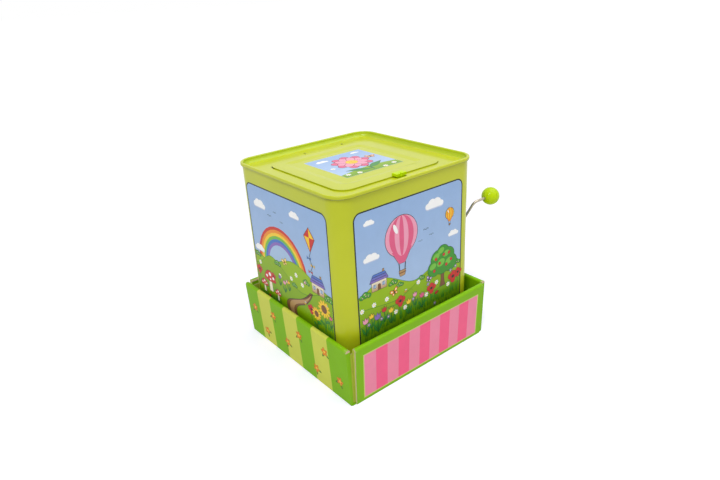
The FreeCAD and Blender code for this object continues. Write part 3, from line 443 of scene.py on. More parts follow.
# Printed pictures: flat shapes laid over one another, drawn in millimetres
inkTray = {
    "line": ink(38, 48, 44), "haze": ink(170, 197, 230), "white": ink(250, 250, 250),
    "shade": ink(200, 208, 232), "grass": ink(58, 126, 30), "blade": ink(44, 102, 18), "leaf": ink(58, 140, 56),
    "stem": ink(46, 116, 46), "pink": ink(240, 160, 186), "rose": ink(226, 96, 136), "red": ink(206, 52, 44),
    "orange": ink(238, 146, 40), "yellow": ink(248, 206, 52), "brown": ink(126, 84, 54),
    "tan": ink(186, 146, 100), "cream": ink(250, 240, 214), "violet": ink(140, 110, 190),
    "blue": ink(70, 120, 200), "crown": ink(66, 150, 48), "crownLight": ink(120, 192, 70),
    "sky": (ink(182, 205, 236), ink(150, 181, 224)), "farHill": (ink(130, 174, 2), ink(154, 190, 14)),
    "midHill": (ink(108, 156, 0), ink(142, 180, 4)), "nearHill": (ink(76, 124, 2), ink(124, 168, 6)),
    "plaster": (ink(186, 146, 100), ink(250, 240, 214)), "slate": (ink(140, 110, 190), ink(70, 120, 200)),
}
layering = {"first": 0.03, "step": 0.012, "tiny": 0.0004, "tinyRound": 24}
roundness = {"large": 32, "small": 18, "largeFrom": 3}  # sides of an oval, by its radius


def footAndHead(colour):  # the two inks that a shape blends between, from a name or an ink
    colour = inkTray[colour] if isinstance(colour, str) else colour
    return colour if isinstance(colour[0], tuple) else (colour, colour)


class Picture:
    def __init__(self):
        self.bm = bmesh.new()
        self.bm.loops.layers.float_color.new("ink")
        self.count = 0

    def stamp(self, draft, colour, layer, line=0.0, lineColour="line"):
        tint = draft.loops.layers.float_color.new("ink")
        fills = draft.faces[:]
        edging = []
        if line:
            inset = bmesh.ops.inset_individual(draft, faces=fills, thickness=line, use_even_offset=True)
            edging = inset["faces"]
        heights = [vert.co.y for vert in draft.verts]
        low, span = min(heights), max(heights) - min(heights)
        for faces, shade in ((fills, colour), (edging, lineColour)):
            foot, head = footAndHead(shade)
            for face in faces:
                for loop in face.loops:
                    loop[tint] = Vector(foot).lerp(Vector(head), (loop.vert.co.y - low) / span)
        self.count += 1
        height = layering["first"] + layering["step"] * layer
        height += layering["tiny"] * (self.count % layering["tinyRound"])
        bmesh.ops.translate(draft, verts=draft.verts, vec=(0, 0, height))
        scratch = bpy.data.meshes.new("scratch")
        draft.to_mesh(scratch)
        draft.free()
        self.bm.from_mesh(scratch)
        bpy.data.meshes.remove(scratch)

    def oval(self, x, y, rx, ry, colour, layer, turn=0.0, line=0.0, lineColour="line"):
        draft = bmesh.new()
        place = Matrix.Translation((x, y, 0)) @ Matrix.Rotation(radians(turn), 4, "Z")
        place = place @ Matrix.Diagonal((rx, ry, 1, 1))
        sides = roundness["large"] if max(rx, ry) > roundness["largeFrom"] else roundness["small"]
        bmesh.ops.create_circle(draft, cap_ends=True, segments=sides, radius=1, matrix=place)
        self.stamp(draft, colour, layer, line, lineColour)

    def cut(self, points, colour, layer, line=0.0, lineColour="line", steps=7):  # a third number rounds
        draft = bmesh.new()
        corners = [draft.verts.new((point[0], point[1], 0)) for point in points]
        face = draft.faces.new(corners)
        face.normal_update()
        if face.normal.z < 0:
            face.normal_flip()
        for corner, point in zip(corners, points):
            if len(point) > 2:
                bmesh.ops.bevel(draft, geom=[corner], offset=point[2], segments=steps, profile=0.5,
                                affect="VERTICES", material=-1, clamp_overlap=True)
        self.stamp(draft, colour, layer, line, lineColour)

    def stroke(self, points, width, colour, layer):
        for (x0, y0), (x1, y1) in zip(points[:-1], points[1:]):
            along = Vector((x1 - x0, y1 - y0)).normalized()
            side = Vector((-along.y, along.x)) * (width / 2)
            self.cut([(x0 - side.x, y0 - side.y), (x1 - side.x, y1 - side.y),
                      (x1 + side.x, y1 + side.y), (x0 + side.x, y0 + side.y)], colour, layer)
        for x, y in points:
            self.oval(x, y, width / 2, width / 2, colour, layer)

    def blades(self, span, level, height, count, colour, layer, draw):
        draft = bmesh.new()
        for index in range(count):
            x = draw.uniform(*span)
            y = level + draw.uniform(-1.5, 1.0)
            lift = index * layering["tiny"] / 8
            tip = (x + draw.uniform(-1.3, 1.3), y + height * draw.uniform(0.55, 1.1), lift)
            draft.faces.new([draft.verts.new((x - 0.35, y, lift)), draft.verts.new((x + 0.35, y, lift)),
                             draft.verts.new(tip)])
        self.stamp(draft, colour, layer)

    def laid(self, name, place, material, body, slot):  # place carries millimetres to the wall
        for vert in self.bm.verts:
            vert.co = place @ (vert.co * mm)
        piece = addedMesh(name, self.bm, material)
        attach(piece, body)


class Pen:  # draws one motif from its own spot, in units of its size; up counts layers above its own
    def __init__(self, art, x, y, size, layer):
        self.art, self.x, self.y, self.size, self.layer = art, x, y, size, layer

    def at(self, x, y, *rounding):
        return (self.x + x * self.size, self.y + y * self.size, *(radius * self.size for radius in rounding))

    def oval(self, x, y, rx, ry, colour, up=0, turn=0.0, line=0.0, lineColour="line", grow=0.0):
        self.art.oval(*self.at(x, y), rx * self.size + grow, ry * self.size + grow, colour, self.layer + up,
                      turn, line, lineColour)

    def cut(self, points, colour, up=0, line=0.0):
        self.art.cut([self.at(*point) for point in points], colour, self.layer + up, line)

    def stroke(self, points, width, colour, up=0):
        self.art.stroke([self.at(*point) for point in points], width * self.size, colour, self.layer + up)

    def petals(self, count, reach, rx, ry, colour, up=0, y=0.0, line=0.0, lineColour="line", start=0.0):
        for index in range(count):
            angle = start + 2 * pi * index / count
            self.oval(reach * cos(angle), y + reach * sin(angle), rx, ry, colour, up,
                      degrees(angle), line, lineColour)


def sow(art, layer, motif, *places):  # one motif in several places: x, y, size, then what else it takes
    for x, y, size, *rest in places:
        motif(Pen(art, x, y, size, layer), *rest)


def wallPlace(origin, right, up):
    right = Vector(right).normalized()
    up = Vector(up).normalized()
    turn = Matrix((right, up, right.cross(up))).transposed().to_4x4()
    return Matrix.Translation(Vector(origin) * mm) @ turn


def cloud(pen):
    for colour, drop, up in (("shade", -0.13, 0), ("white", 0.0, 1)):
        for x, y, radius in ((-1.05, 0.05, 0.45), (-0.45, 0.32, 0.6), (0.3, 0.25, 0.66), (0.95, 0.02, 0.42)):
            pen.oval(x, y + drop, radius, radius * 0.8, colour, up)
        pen.cut([(-1.4, drop - 0.3, 0.22), (1.3, drop - 0.3, 0.22), (1.2, drop + 0.15, 0.2),
                 (-1.3, drop + 0.15, 0.2)], colour, up)


def tulip(pen, colour):
    pen.stroke([(0, 0), (0.04, 0.6), (0, 1.1)], 0.1, "stem")
    for side in (-1, 1):
        pen.cut([(0, 0), (side * 0.4, 0.35, 0.3), (side * 0.42, 0.85), (side * 0.08, 0.4, 0.2)], "leaf", 1, 0.2)
    pen.cut([(-0.3, 1.62), (-0.14, 1.4), (0, 1.68), (0.14, 1.4), (0.3, 1.62), (0.3, 1.1, 0.18), (0, 1.0, 0.16),
             (-0.3, 1.1, 0.18)], colour, 1, 0.25)


def daisy(pen, petal, heart, count):
    pen.petals(count, 0.6, 0.42, 0.24, petal)
    pen.oval(0, 0, 0.3, 0.3, heart, 1)


def daisies(art, layer, size, petal, heart, count, *places):
    for x, y in places:
        daisy(Pen(art, x, y, size, layer), petal, heart, count)


def sunflower(pen):
    pen.stroke([(0, 0), (0.08, 1.0), (0, 2.1)], 0.13, "stem")
    for side, rise in ((-1, 0.6), (1, 0.95)):
        pen.cut([(side * 0.05, rise), (side * 0.45, rise - 0.05, 0.25), (side * 0.8, rise + 0.35),
                 (side * 0.35, rise + 0.4, 0.25)], "leaf", 1, 0.2)
    pen.petals(12, 0.6, 0.32, 0.15, "yellow", 1, 2.3, 0.15, "orange")
    pen.oval(0, 2.3, 0.42, 0.42, "brown", 2, 0, 0.25)


def toadstool(pen):
    pen.cut([(-0.2, 0, 0.1), (0.22, 0, 0.1), (0.13, 0.85), (-0.13, 0.85)], "cream", 0, 0.25)
    pen.cut([(-0.68, 0.7, 0.12), (-0.5, 1.2, 0.32), (0, 1.42, 0.4), (0.5, 1.2, 0.32), (0.68, 0.7, 0.12),
             (0, 0.62, 0.3)], "red", 1, 0.3)
    for x, y, radius in ((-0.34, 0.92, 0.1), (0.02, 1.12, 0.13), (0.36, 0.94, 0.1), (0.02, 0.8, 0.07)):
        pen.oval(x, y, radius, radius * 0.9, "white", 2)


def balloon(pen, first, second):
    pen.cut([(-0.74, -0.5), (0.74, -0.5), (0.2, -1.35), (-0.2, -1.35)], first, 0, 0.35)
    pen.oval(0, 0, 1, 1, first, 1, 0, 0.4)
    for width, colour, up in ((0.74, second, 2), (0.42, first, 3), (0.14, second, 4)):
        pen.oval(0, 0, width, 0.975, colour, up)
    pen.cut([(-0.62, -0.66), (0.62, -0.66), (0.16, -1.34), (-0.16, -1.34)], second, 2)
    pen.oval(-0.36, 0.42, 0.1, 0.26, "white", 5, 24)
    for side in (-1, 1):
        pen.stroke([(side * 0.2, -1.34), (side * 0.16, -1.72)], 0.05, "line")
    pen.cut([(-0.22, -1.68), (0.22, -1.68), (0.17, -2.0, 0.07), (-0.17, -2.0, 0.07)], "tan", 1, 0.3)
    pen.stroke([(-0.2, -1.82), (0.2, -1.82)], 0.05, "brown", 2)


def foliage(pen, puffs, squash, outline, up, lit):  # lit is the light's shift, rise, height and turn
    for colour, grow, level in (("line", outline, up), ("crown", 0.0, up + 1)):
        for x, y, radius in puffs:
            pen.oval(x, y, radius, radius * squash, colour, level, grow=grow)
    left, rise, tall, turn = lit
    for x, y, radius in puffs:
        pen.oval(x - left, y + rise, radius * 0.5, radius * tall, "crownLight", up + 2, turn)


def appleTree(pen):
    pen.cut([(-0.22, 0), (0.24, 0), (0.12, 0.4, 0.2), (0.16, 1.1), (-0.14, 1.1), (-0.11, 0.4, 0.2)], "brown", 0,
            0.3)
    foliage(pen, [(-0.6, 1.25, 0.5), (0.6, 1.22, 0.52), (-0.35, 1.75, 0.52), (0.4, 1.72, 0.5), (0.0, 1.3, 0.6),
                  (0.02, 2.0, 0.46)], 0.92, 0.35, 1, (0.12, 0.14, 0.34, 18))
    for x, y in ((-0.62, 1.1), (-0.22, 1.42), (0.3, 1.2), (0.66, 1.4), (0.1, 1.85), (-0.5, 1.75), (0.5, 1.85)):
        pen.oval(x, y, 0.105, 0.1, "red", 4, 0, 0.2)


def bush(pen):
    foliage(pen, [(-0.7, 0.3, 0.42), (0.0, 0.5, 0.58), (0.72, 0.28, 0.42)], 0.9, 0.3, 0, (0.1, 0.16, 0.3, 12))
    for x, y in ((-0.55, 0.2), (0.1, 0.35), (0.6, 0.2), (-0.1, 0.72)):
        pen.oval(x, y, 0.09, 0.09, "pink", 3)


def kite(pen):
    bows = ((-0.25, -1.5, "blue"), (0.15, -2.0, "yellow"), (-0.2, -2.6, "red"))
    pen.stroke([(0, -1)] + [(x, y) for x, y, colour in bows], 0.05, "line")
    for x, y, colour in bows:
        for side in (-1, 1):
            pen.cut([(x, y), (x + side * 0.26, y + 0.14), (x + side * 0.26, y - 0.14)], colour, 1, 0.15)
    pen.cut([(0, 1), (0.7, 0.2), (0, -1), (-0.7, 0.2)], "red", 1, 0.35)
    for side, tip in ((1, 0.9), (-1, -0.84)):
        pen.cut([(0, 0.2), (side * 0.58, 0.2), (0, tip)], "yellow", 2)


def butterfly(pen, colour, turn=20):
    turning = Matrix.Rotation(radians(turn), 2)
    for x, y, rx, ry, lean in ((-0.5, 0.35, 0.5, 0.36, -35), (0.5, 0.35, 0.5, 0.36, 35),
                               (-0.36, -0.3, 0.34, 0.26, 40), (0.36, -0.3, 0.34, 0.26, -40)):
        spot = turning @ Vector((x, y))
        pen.oval(spot.x, spot.y, rx, ry, colour, 0, lean + turn, 0.22)
        pen.oval(spot.x, spot.y, rx * 0.4, ry * 0.4, "cream", 1, lean + turn)
    pen.oval(0, 0, 0.09, 0.55, "line", 2, turn)


def boat(pen):
    pen.cut([(-0.8, 0.3), (0.85, 0.3), (0.5, -0.15, 0.15), (-0.5, -0.15, 0.15)], "red", 1, 0.3)
    pen.stroke([(0, 0.3), (0, 1.7)], 0.07, "brown")
    pen.cut([(0.08, 0.45), (0.75, 0.45), (0.08, 1.65)], "white", 1, 0.25)
    pen.cut([(-0.08, 0.45), (-0.6, 0.45), (-0.08, 1.4)], "yellow", 1, 0.25)


def cottage(pen):
    pen.cut([(0.38, 1.2), (0.6, 1.2), (0.6, 1.85), (0.38, 1.85)], "tan", 0, 0.25)
    pen.cut([(-0.85, 0), (0.85, 0), (0.85, 0.95), (-0.85, 0.95)], "plaster", 1, 0.3)
    pen.cut([(-1.08, 0.85, 0.08), (1.08, 0.85, 0.08), (0.68, 1.6, 0.1), (-0.68, 1.6, 0.1)], "slate", 2, 0.3)
    for row, half in ((1.1, 0.78), (1.35, 0.7175)):
        pen.stroke([(-half, row), (half, row)], 0.045, "line", 3)
    pen.cut([(-0.17, 0), (0.17, 0), (0.17, 0.6, 0.14), (-0.17, 0.6, 0.14)], "brown", 2, 0.2)
    for mid in (-0.5, 0.5):
        pen.cut([(mid - 0.17, 0.3), (mid + 0.17, 0.3), (mid + 0.17, 0.64), (mid - 0.17, 0.64)], "haze", 2, 0.2)
        pen.stroke([(mid, 0.3), (mid, 0.64)], 0.04, "line", 3)


def bird(pen):  # far off, two wing strokes
    for side in (-1, 1):
        pen.stroke([(0, 0), (side * 0.45, 0.34), (side, 0.16)], 0.13, "line")


def bee(pen):
    for x, y, lean in ((-0.1, 0.55, 30), (0.35, 0.52, -20)):
        pen.oval(x, y, 0.24, 0.42, "white", 0, lean, 0.15)
    pen.oval(0, 0, 0.75, 0.48, "yellow", 1, 0, 0.2)
    for x, tall in ((-0.22, 0.4), (0.16, 0.4), (0.5, 0.24)):
        pen.oval(x, 0, 0.09, tall, "line", 2)
    for step in range(6):
        pen.oval(1.15 + 0.42 * step, 0.5 * sin(1.1 * step), 0.09, 0.09, "line")


def ladybird(pen):
    pen.oval(0.75, 0.2, 0.34, 0.34, "line")
    pen.oval(0, 0.2, 0.85, 0.62, "red", 1, 14, 0.2)
    pen.stroke([(-0.7, 0.05), (0.6, 0.36)], 0.09, "line", 2)
    for x, y in ((-0.3, 0.5), (0.2, 0.62), (-0.15, -0.12), (0.35, 0.0)):
        pen.oval(x, y, 0.14, 0.14, "line", 2)


def poppy(pen):
    pen.stroke([(0, 0), (-0.1, 0.7), (0, 1.3)], 0.09, "stem")
    for angle in (20, 160, 90, 270):
        way = radians(angle)
        pen.oval(0.3 * cos(way), 1.45 + 0.24 * sin(way), 0.42, 0.34, "red", 1, angle, 0.2)
    pen.oval(0, 1.45, 0.17, 0.15, "line", 2)


panelLook = {"half": 57.0, "bottom": 16.0, "top": 150.8, "corner": 6.5, "line": 1.1, "cornerSteps": 10,
             "easeSteps": 10}


def panelGround(left, right):  # the outlined sky, and the ends of what lies within its line
    art = Picture()
    low, high, corner, line = (panelLook[name] for name in ("bottom", "top", "corner", "line"))
    art.cut([(left, low, corner), (right, low, corner), (right, high, corner), (left, high, corner)], "sky", 0,
            line, steps=panelLook["cornerSteps"])
    return art, left + line, right - line


def hillBand(art, crest, colour, layer):  # crest lists tops and hollows from left to right, eased into one line
    low = panelLook["bottom"] + panelLook["line"]
    corner = panelLook["corner"] - panelLook["line"]
    ridge = []
    for (x0, y0), (x1, y1) in zip(crest[:-1], crest[1:]):
        for step in range(panelLook["easeSteps"]):
            share = step / panelLook["easeSteps"]
            ridge.append((x0 + (x1 - x0) * share, y0 + (y1 - y0) * share * share * (3 - 2 * share)))
    ridge.append(crest[-1])
    base = [(crest[0][0], low, corner), (crest[-1][0], low, corner)]
    art.cut(base + [(x, y + 0.4) for x, y in reversed(ridge)], "grass", layer - 0.4)
    art.cut(base + list(reversed(ridge)), colour, layer)


def meadowPanel():  # front wall: balloons over a meadow
    art, a, b = panelGround(-57.4, 55.8)
    draw = random.Random(11)
    sow(art, 1, cloud, (24, 136, 7.0), (-42, 112, 5.4), (46, 105, 4.2), (-43, 140, 3.6))
    sow(art, 2, bird, (14, 118, 3.0), (20, 112, 2.4), (8, 110, 2.2))
    hillBand(art, [(a, 84), (-34, 92), (2, 78), (34, 87), (b, 78)], "farHill", 3)
    hillBand(art, [(a, 72), (-20, 68), (22, 80), (b, 68)], "midHill", 4)
    hillBand(art, [(a, 58), (-30, 65), (10, 59), (b, 63)], "nearHill", 5)
    sow(art, 6, cottage, (-36, 84, 9.0))
    sow(art, 6, bush, (-50, 82, 5.0), (-22, 83, 4.2), (-15, 79, 3.4), (8, 76, 3.8), (50, 76, 4.2))
    for row in ((54, 6.0, 150, "crown"), (50, 7.5, 150, "grass"), (40, 10.0, 170, "blade"),
                (24, 12.0, 150, "blade")):
        art.blades((a + 2, b - 2), *row, 7, draw)
    sow(art, 8, balloon, (-12, 121, 17.0, "pink", "rose"), (41, 124, 5.2, "yellow", "orange"))
    sow(art, 9, appleTree, (33, 61, 15.5))
    sow(art, 10, tulip, (-51, 50, 9.5, "pink"), (-45, 54, 8.0, "yellow"), (-39, 48, 10.5, "violet"),
        (-32, 54, 8.5, "red"), (-25, 50, 9.0, "yellow"), (-6, 50, 9.0, "yellow"), (1, 55, 8.0, "pink"),
        (9, 50, 9.0, "rose"))
    sow(art, 10, poppy, (20, 52, 8.0), (46, 52, 9.0), (52, 57, 7.0), (-15, 54, 8.0))
    sow(art, 11, butterfly, (-21, 76, 4.6, "orange"), (17, 73, 3.6, "violet", -25))
    sow(art, 12, bee, (-9, 72, 2.4))
    sow(art, 13, ladybird, (26, 57, 2.6))
    daisies(art, 12, 2.2, "white", "yellow", 7, (-54, 72), (-42, 73), (-29, 73), (-20, 58), (-10, 58), (14, 60),
            (5, 75), (26, 67), (40, 60))
    daisies(art, 12, 1.7, "violet", "cream", 5, (-48, 58), (-35, 58), (-28, 57), (-1, 62), (16, 69), (49, 74),
            (43, 72), (24, 48))
    return art


def rainbowPanel():  # left wall: kite, rainbow, lane and toadstools
    art, a, b = panelGround(-57.6, 56.4)
    draw = random.Random(23)
    for index, name in enumerate(("red", "orange", "yellow", "crownLight", "blue", "violet", "haze")):
        radius = 37 - index * 2.7
        art.oval(-12, 84, radius, radius, name, 1 + index * 0.4)
    sow(art, 4, cloud, (-38, 134, 6.4), (14, 138, 4.8), (-47, 92, 5.2))
    hillBand(art, [(a, 88), (-36, 84), (6, 96), (b, 84)], "farHill", 6)
    hillBand(art, [(a, 76), (-30, 90), (14, 72), (b, 84)], "midHill", 7)
    art.cut([(-16, 18), (20, 18), (24, 34, 14), (-6, 52, 18), (26, 66, 12), (30, 77), (26, 77), (18, 68, 10),
             (-20, 54, 16), (4, 36, 14)], "brown", 8, 0.45)
    art.cut([(-9, 18), (13, 18), (18, 34, 14), (-10, 52, 18), (24, 67, 10), (28, 76.5), (24, 70, 8),
             (-15, 54, 16), (8, 36, 14)], "tan", 8.6)
    sow(art, 5, bird, (-24, 128, 3.0), (-15, 133, 2.4), (-6, 127, 2.2))
    sow(art, 9, cottage, (38, 80, 9.5))
    sow(art, 8, bush, (51, 79, 4.6), (22, 83, 4.0), (-52, 84, 4.2), (-20, 85, 4.4), (4, 74, 3.4))
    for row in (((a + 2, -18), 56, 6.0, 80, "crown"), ((32, b - 2), 54, 6.0, 60, "crown"),
                ((a + 2, -20), 46, 8.0, 90, "grass"), ((28, b - 2), 44, 8.0, 80, "grass"),
                ((a + 5, -18), 28, 11.0, 90, "blade"), ((26, b - 5), 26, 11.0, 80, "blade")):
        art.blades(*row, 9, draw)
    sow(art, 10, toadstool, (-36, 54, 15.0))
    sow(art, 12, toadstool, (-47, 50, 9.5), (-25, 49, 8.0))
    sow(art, 10, sunflower, (44, 50, 8.6))
    sow(art, 13, sunflower, (33, 46, 6.6))
    sow(art, 10, tulip, (-12, 62, 7.5, "pink"), (-5, 66, 6.5, "yellow"), (52, 56, 7.0, "rose"),
        (-19, 66, 6.5, "violet"))
    sow(art, 10, poppy, (-53, 60, 7.0), (-30, 62, 6.0), (26, 52, 7.0))
    sow(art, 11, butterfly, (-8, 92, 4.4, "yellow", 24))
    sow(art, 15, bee, (18, 64, 2.4))
    sow(art, 15, ladybird, (-40, 48, 2.4))
    sow(art, 5, kite, (32, 124, 10.5))
    daisies(art, 9.5, 2.2, "white", "yellow", 7, (0, 80), (8, 86), (-18, 76), (42, 84), (16, 80), (-30, 44),
            (38, 42), (-50, 78))
    daisies(art, 9.5, 1.8, "pink", "cream", 5, (-8, 74), (48, 74), (20, 84), (-44, 42), (30, 40))
    return art


def orchardPanel():  # back wall, beside the side seam
    art, a, b = panelGround(-34.0, panelLook["half"])
    draw = random.Random(37)
    sow(art, 1, cloud, (-12, 136, 6.2), (36, 126, 7.2))
    hillBand(art, [(a, 84), (-8, 92), (28, 80), (b, 90)], "farHill", 3)
    hillBand(art, [(a, 70), (4, 64), (34, 76), (b, 68)], "midHill", 4)
    hillBand(art, [(a, 50), (10, 56), (b, 48)], "nearHill", 5)
    art.blades((a + 2, b - 2), 44, 8.0, 150, "grass", 6, draw)
    art.blades((a + 5, b - 5), 26, 11.0, 160, "blade", 7, draw)
    sow(art, 2, bird, (-20, 122, 2.8), (-13, 126, 2.2), (44, 112, 2.6))
    sow(art, 6, bush, (-27, 84, 4.6), (6, 84, 4.2), (14, 81, 3.6), (52, 84, 4.4), (28, 74, 3.8))
    sow(art, 5, cottage, (21, 84, 8.0))
    sow(art, 8, appleTree, (-14, 64, 14.0), (41, 68, 11.0))
    sow(art, 8, balloon, (14, 121, 10.0, "blue", "cream"))
    sow(art, 11, butterfly, (10, 74, 4.2, "rose"))
    sow(art, 12, bee, (-4, 58, 2.4))
    sow(art, 9, poppy, (-28, 50, 8.0), (-20, 53, 7.0), (48, 52, 8.5), (41, 55, 7.0))
    sow(art, 9, tulip, (2, 46, 9.0, "red"), (11, 50, 8.0, "yellow"), (22, 45, 9.5, "pink"),
        (33, 49, 8.0, "red"))
    daisies(art, 10, 2.2, "white", "yellow", 7, (-26, 68), (0, 70), (24, 66), (32, 64), (14, 66), (-22, 44),
            (52, 72), (-8, 52))
    daisies(art, 10, 1.7, "violet", "cream", 5, (-2, 64), (19, 62), (36, 58), (-30, 62), (27, 52), (6, 56))
    return art


def pondPanel():  # crank side: a toy boat on a pond
    art, a, b = panelGround(-panelLook["half"], panelLook["half"])
    draw = random.Random(41)
    sow(art, 1, cloud, (-30, 132, 7.4), (30, 138, 5.4), (44, 112, 4.4))
    hillBand(art, [(a, 92), (-20, 102), (26, 90), (b, 100)], "farHill", 3)
    hillBand(art, [(a, 88), (0, 82), (b, 92)], "midHill", 4)
    art.oval(12, 64, 34, 12, "blue", 5, 0, 0.5, "grass")
    art.oval(10, 66, 27, 7.5, "sky", 5.5)
    for y, x0, x1 in ((60, -4, 6), (57, 14, 28), (68, -10, 0), (70, 26, 36)):
        art.stroke([(x0, y), (x1, y)], 0.7, "white", 6)
    sow(art, 7, boat, (14, 64, 12.0))
    sow(art, 2, bird, (-6, 118, 2.8), (2, 122, 2.2), (10, 117, 2.4))
    sow(art, 5, bush, (-49, 90, 4.6), (-12, 86, 3.8), (22, 88, 4.2), (31, 90, 3.6), (50, 92, 4.4))
    sow(art, 3.5, cottage, (8, 93, 7.5))
    sow(art, 9, tulip, (-8, 46, 8.0, "pink"), (0, 43, 8.5, "yellow"), (9, 45, 8.0, "rose"),
        (26, 43, 8.0, "violet"))
    sow(art, 9, poppy, (-51, 60, 7.5), (-35, 56, 7.0), (42, 44, 8.0))
    for x, y in ((-8, 62), (36, 60), (30, 55)):
        art.oval(x, y, 2.6, 1.0, "leaf", 7, 0, 0.2)
        daisies(art, 8, 1.6, "pink", "yellow", 6, (x, y + 0.5))
    sow(art, 11, butterfly, (40, 76, 4.2, "orange", -20))
    sow(art, 12, bee, (26, 77, 2.4))
    art.blades((a + 2, b - 2), 44, 9.0, 150, "grass", 6, draw)
    art.blades((a + 5, b - 5), 27, 11.0, 160, "blade", 7, draw)
    sow(art, 9, sunflower, (48, 54, 8.0), (-26, 48, 7.0))
    sow(art, 9, toadstool, (-44, 50, 10.0), (34, 44, 8.0))
    daisies(art, 10, 2.2, "white", "yellow", 7, (-10, 88), (20, 86), (40, 84), (-48, 76), (4, 48),
            (20, 46), (-14, 50))
    return art


wall = 70.0
for name, art, out, right in (("print_front", meadowPanel(), (0, -1), (1, 0)),
                              ("print_left", rainbowPanel(), (-1, 0), (0, -1)),
                              ("print_back", orchardPanel(), (0, 1), (-1, 0)),
                              ("print_right", pondPanel(), (1, 0), (0, 1))):
    place = wallPlace((wall * out[0], wall * out[1], 0), (*right, 0), (0, 0, 1))
    art.laid(name, place, finishes["panelPrint"], "case", "printed_tin")


lidLook = {"half": 29.5, "within": 29.2, "middle": (1.5, 1.5, 161.2), "heart": 2.0, "petals": 9, "seeds": 9,
           "seedReach": 1.25, "seedTurn": 2.4}


def lidPicture():  # one large blossom on pale blue
    art = Picture()
    half, end, heart = lidLook["half"], lidLook["within"], lidLook["heart"]
    art.cut([(-half, -half), (half, -half), (half, half), (-half, half)], "sky", 0, 0.3, "shade")
    sow(art, 1, cloud, (-17, 20, 4.2), (20, 23, 3.2))
    art.cut([(-end, -end), (end, -end), (end, -20), (4, -15, 16), (-end, -22)], "midHill", 3)
    art.stroke([(1, -26), (2, -16), (0, -6)], 1.5, "stem", 4)
    for side, rise in ((-1, -20), (1, -17)):
        art.cut([(1, rise - 4), (side * 9 + 1, rise - 4, 5), (side * 20, rise + 5), (side * 7, rise + 4, 4)],
                "leaf", 4, 0.35)
    for reach, rx, ry, name, level, phase in ((10.6, 7.4, 4.9, "rose", 5, 0.0),
                                              (8.2, 6.2, 4.0, "pink", 7, 0.5)):
        for index in range(lidLook["petals"]):
            angle = 2 * pi * (index + phase) / lidLook["petals"]
            art.oval(reach * cos(angle), heart + reach * sin(angle), rx, ry, name, level + index % 2,
                     degrees(angle), 0.35)
    art.oval(0, heart, 5.4, 5.4, "yellow", 9, 0, 0.4, "orange")
    for index in range(lidLook["seeds"]):
        angle = lidLook["seedTurn"] * index
        reach = lidLook["seedReach"] * sqrt(index)
        art.oval(reach * cos(angle), heart + reach * sin(angle), 0.55, 0.55, "orange", 10)
    sow(art, 6, butterfly, (22, 4, 5.0, "orange", -18))
    daisies(art, 9, 2.4, "white", "yellow", 7, (-24, -24), (23, -25), (-14, -26), (12, -27), (-23, -3))
    return art


lidPlace = wallPlace(lidLook["middle"], (1, 0, 0), (0, 1, 0))
lidPicture().laid("print_lid", lidPlace, finishes["panelPrint"], "lid", "printed_tin")
print("pictures printed")


# Card tray printing, on walls that lean out
trayPrint = {"light": ink(240, 140, 170), "dark": ink(246, 98, 142), "keyline": ink(206, 214, 120),
             "petal": ink(238, 132, 26), "heart": ink(250, 210, 70), "leaf": ink(70, 140, 30),
             "edge": ink(120, 84, 30), "low": 3.4, "high": 42.4, "border": 0.9, "stripes": 11, "bloom": 1.3}


def pinkStripes(left, right):
    art = Picture()
    low, high, border = trayPrint["low"], trayPrint["high"], trayPrint["border"]
    art.cut([(left - border, low - border), (right + border, low - border), (right + border, high + border),
             (left - border, high + border)], trayPrint["keyline"], 0)
    width = (right - left) / trayPrint["stripes"]
    for index in range(trayPrint["stripes"]):
        x = left + width * index
        art.cut([(x, low), (x + width, low), (x + width, high), (x, high)],
                trayPrint["dark"] if index % 2 else trayPrint["light"], 1)
    return art


def bloom(pen, turn):
    for side in (-1, 1):
        lean = radians(turn + 250 + 40 * side)
        pen.oval(3.2 * cos(lean), 3.2 * sin(lean), 2.0, 0.8, trayPrint["leaf"], 0,
                 degrees(lean), 0.2, trayPrint["edge"])
    pen.petals(5, 1.75, 1.5, 1.05, trayPrint["petal"], 1, 0.0, 0.2, trayPrint["edge"], radians(turn))
    pen.oval(0, 0, 0.95, 0.95, trayPrint["heart"], 2)


def scatteredBlooms():  # small flowers strewn over the side walls
    art = Picture()
    for x, y, turn in ((-63, 30, 20), (-46, 12, 70), (-30, 35, 0), (-11, 17, 45), (10, 34, 10), (31, 12, 60),
                       (46, 36, 30), (63, 17, 0)):
        bloom(Pen(art, x, y, trayPrint["bloom"], 0), turn)
    return art


middleX, middleY = cardLook["middle"]
foot, lean = cardLook["foot"], cardLook["lean"]
for name, art, origin, right, up in (
        ("tray_print_front", pinkStripes(-62.4, 66.9), (0, middleY - foot, 0), (1, 0, 0), (0, -lean, 1)),
        ("tray_print_back", pinkStripes(-66.9, 62.4), (0, middleY + foot, 0), (-1, 0, 0), (0, lean, 1)),
        ("tray_print_left", scatteredBlooms(), (middleX - foot, middleY, 0), (0, -1, 0), (-lean, 0, 1)),
        ("tray_print_right", scatteredBlooms(), (middleX + foot, middleY, 0), (0, 1, 0), (lean, 0, 1))):
    art.laid(name, wallPlace(origin, right, up), finishes["cardPrint"], "tray", "tray_card")
print("tray printed")

# Stuffed figure, its sleeve and the spring below it
fullTurn = 2 * pi
softLook = {"simScale": 10, "simFrames": 20, "pressure": 4.0, "groove": 0.9, "seamWidth": 1.6}


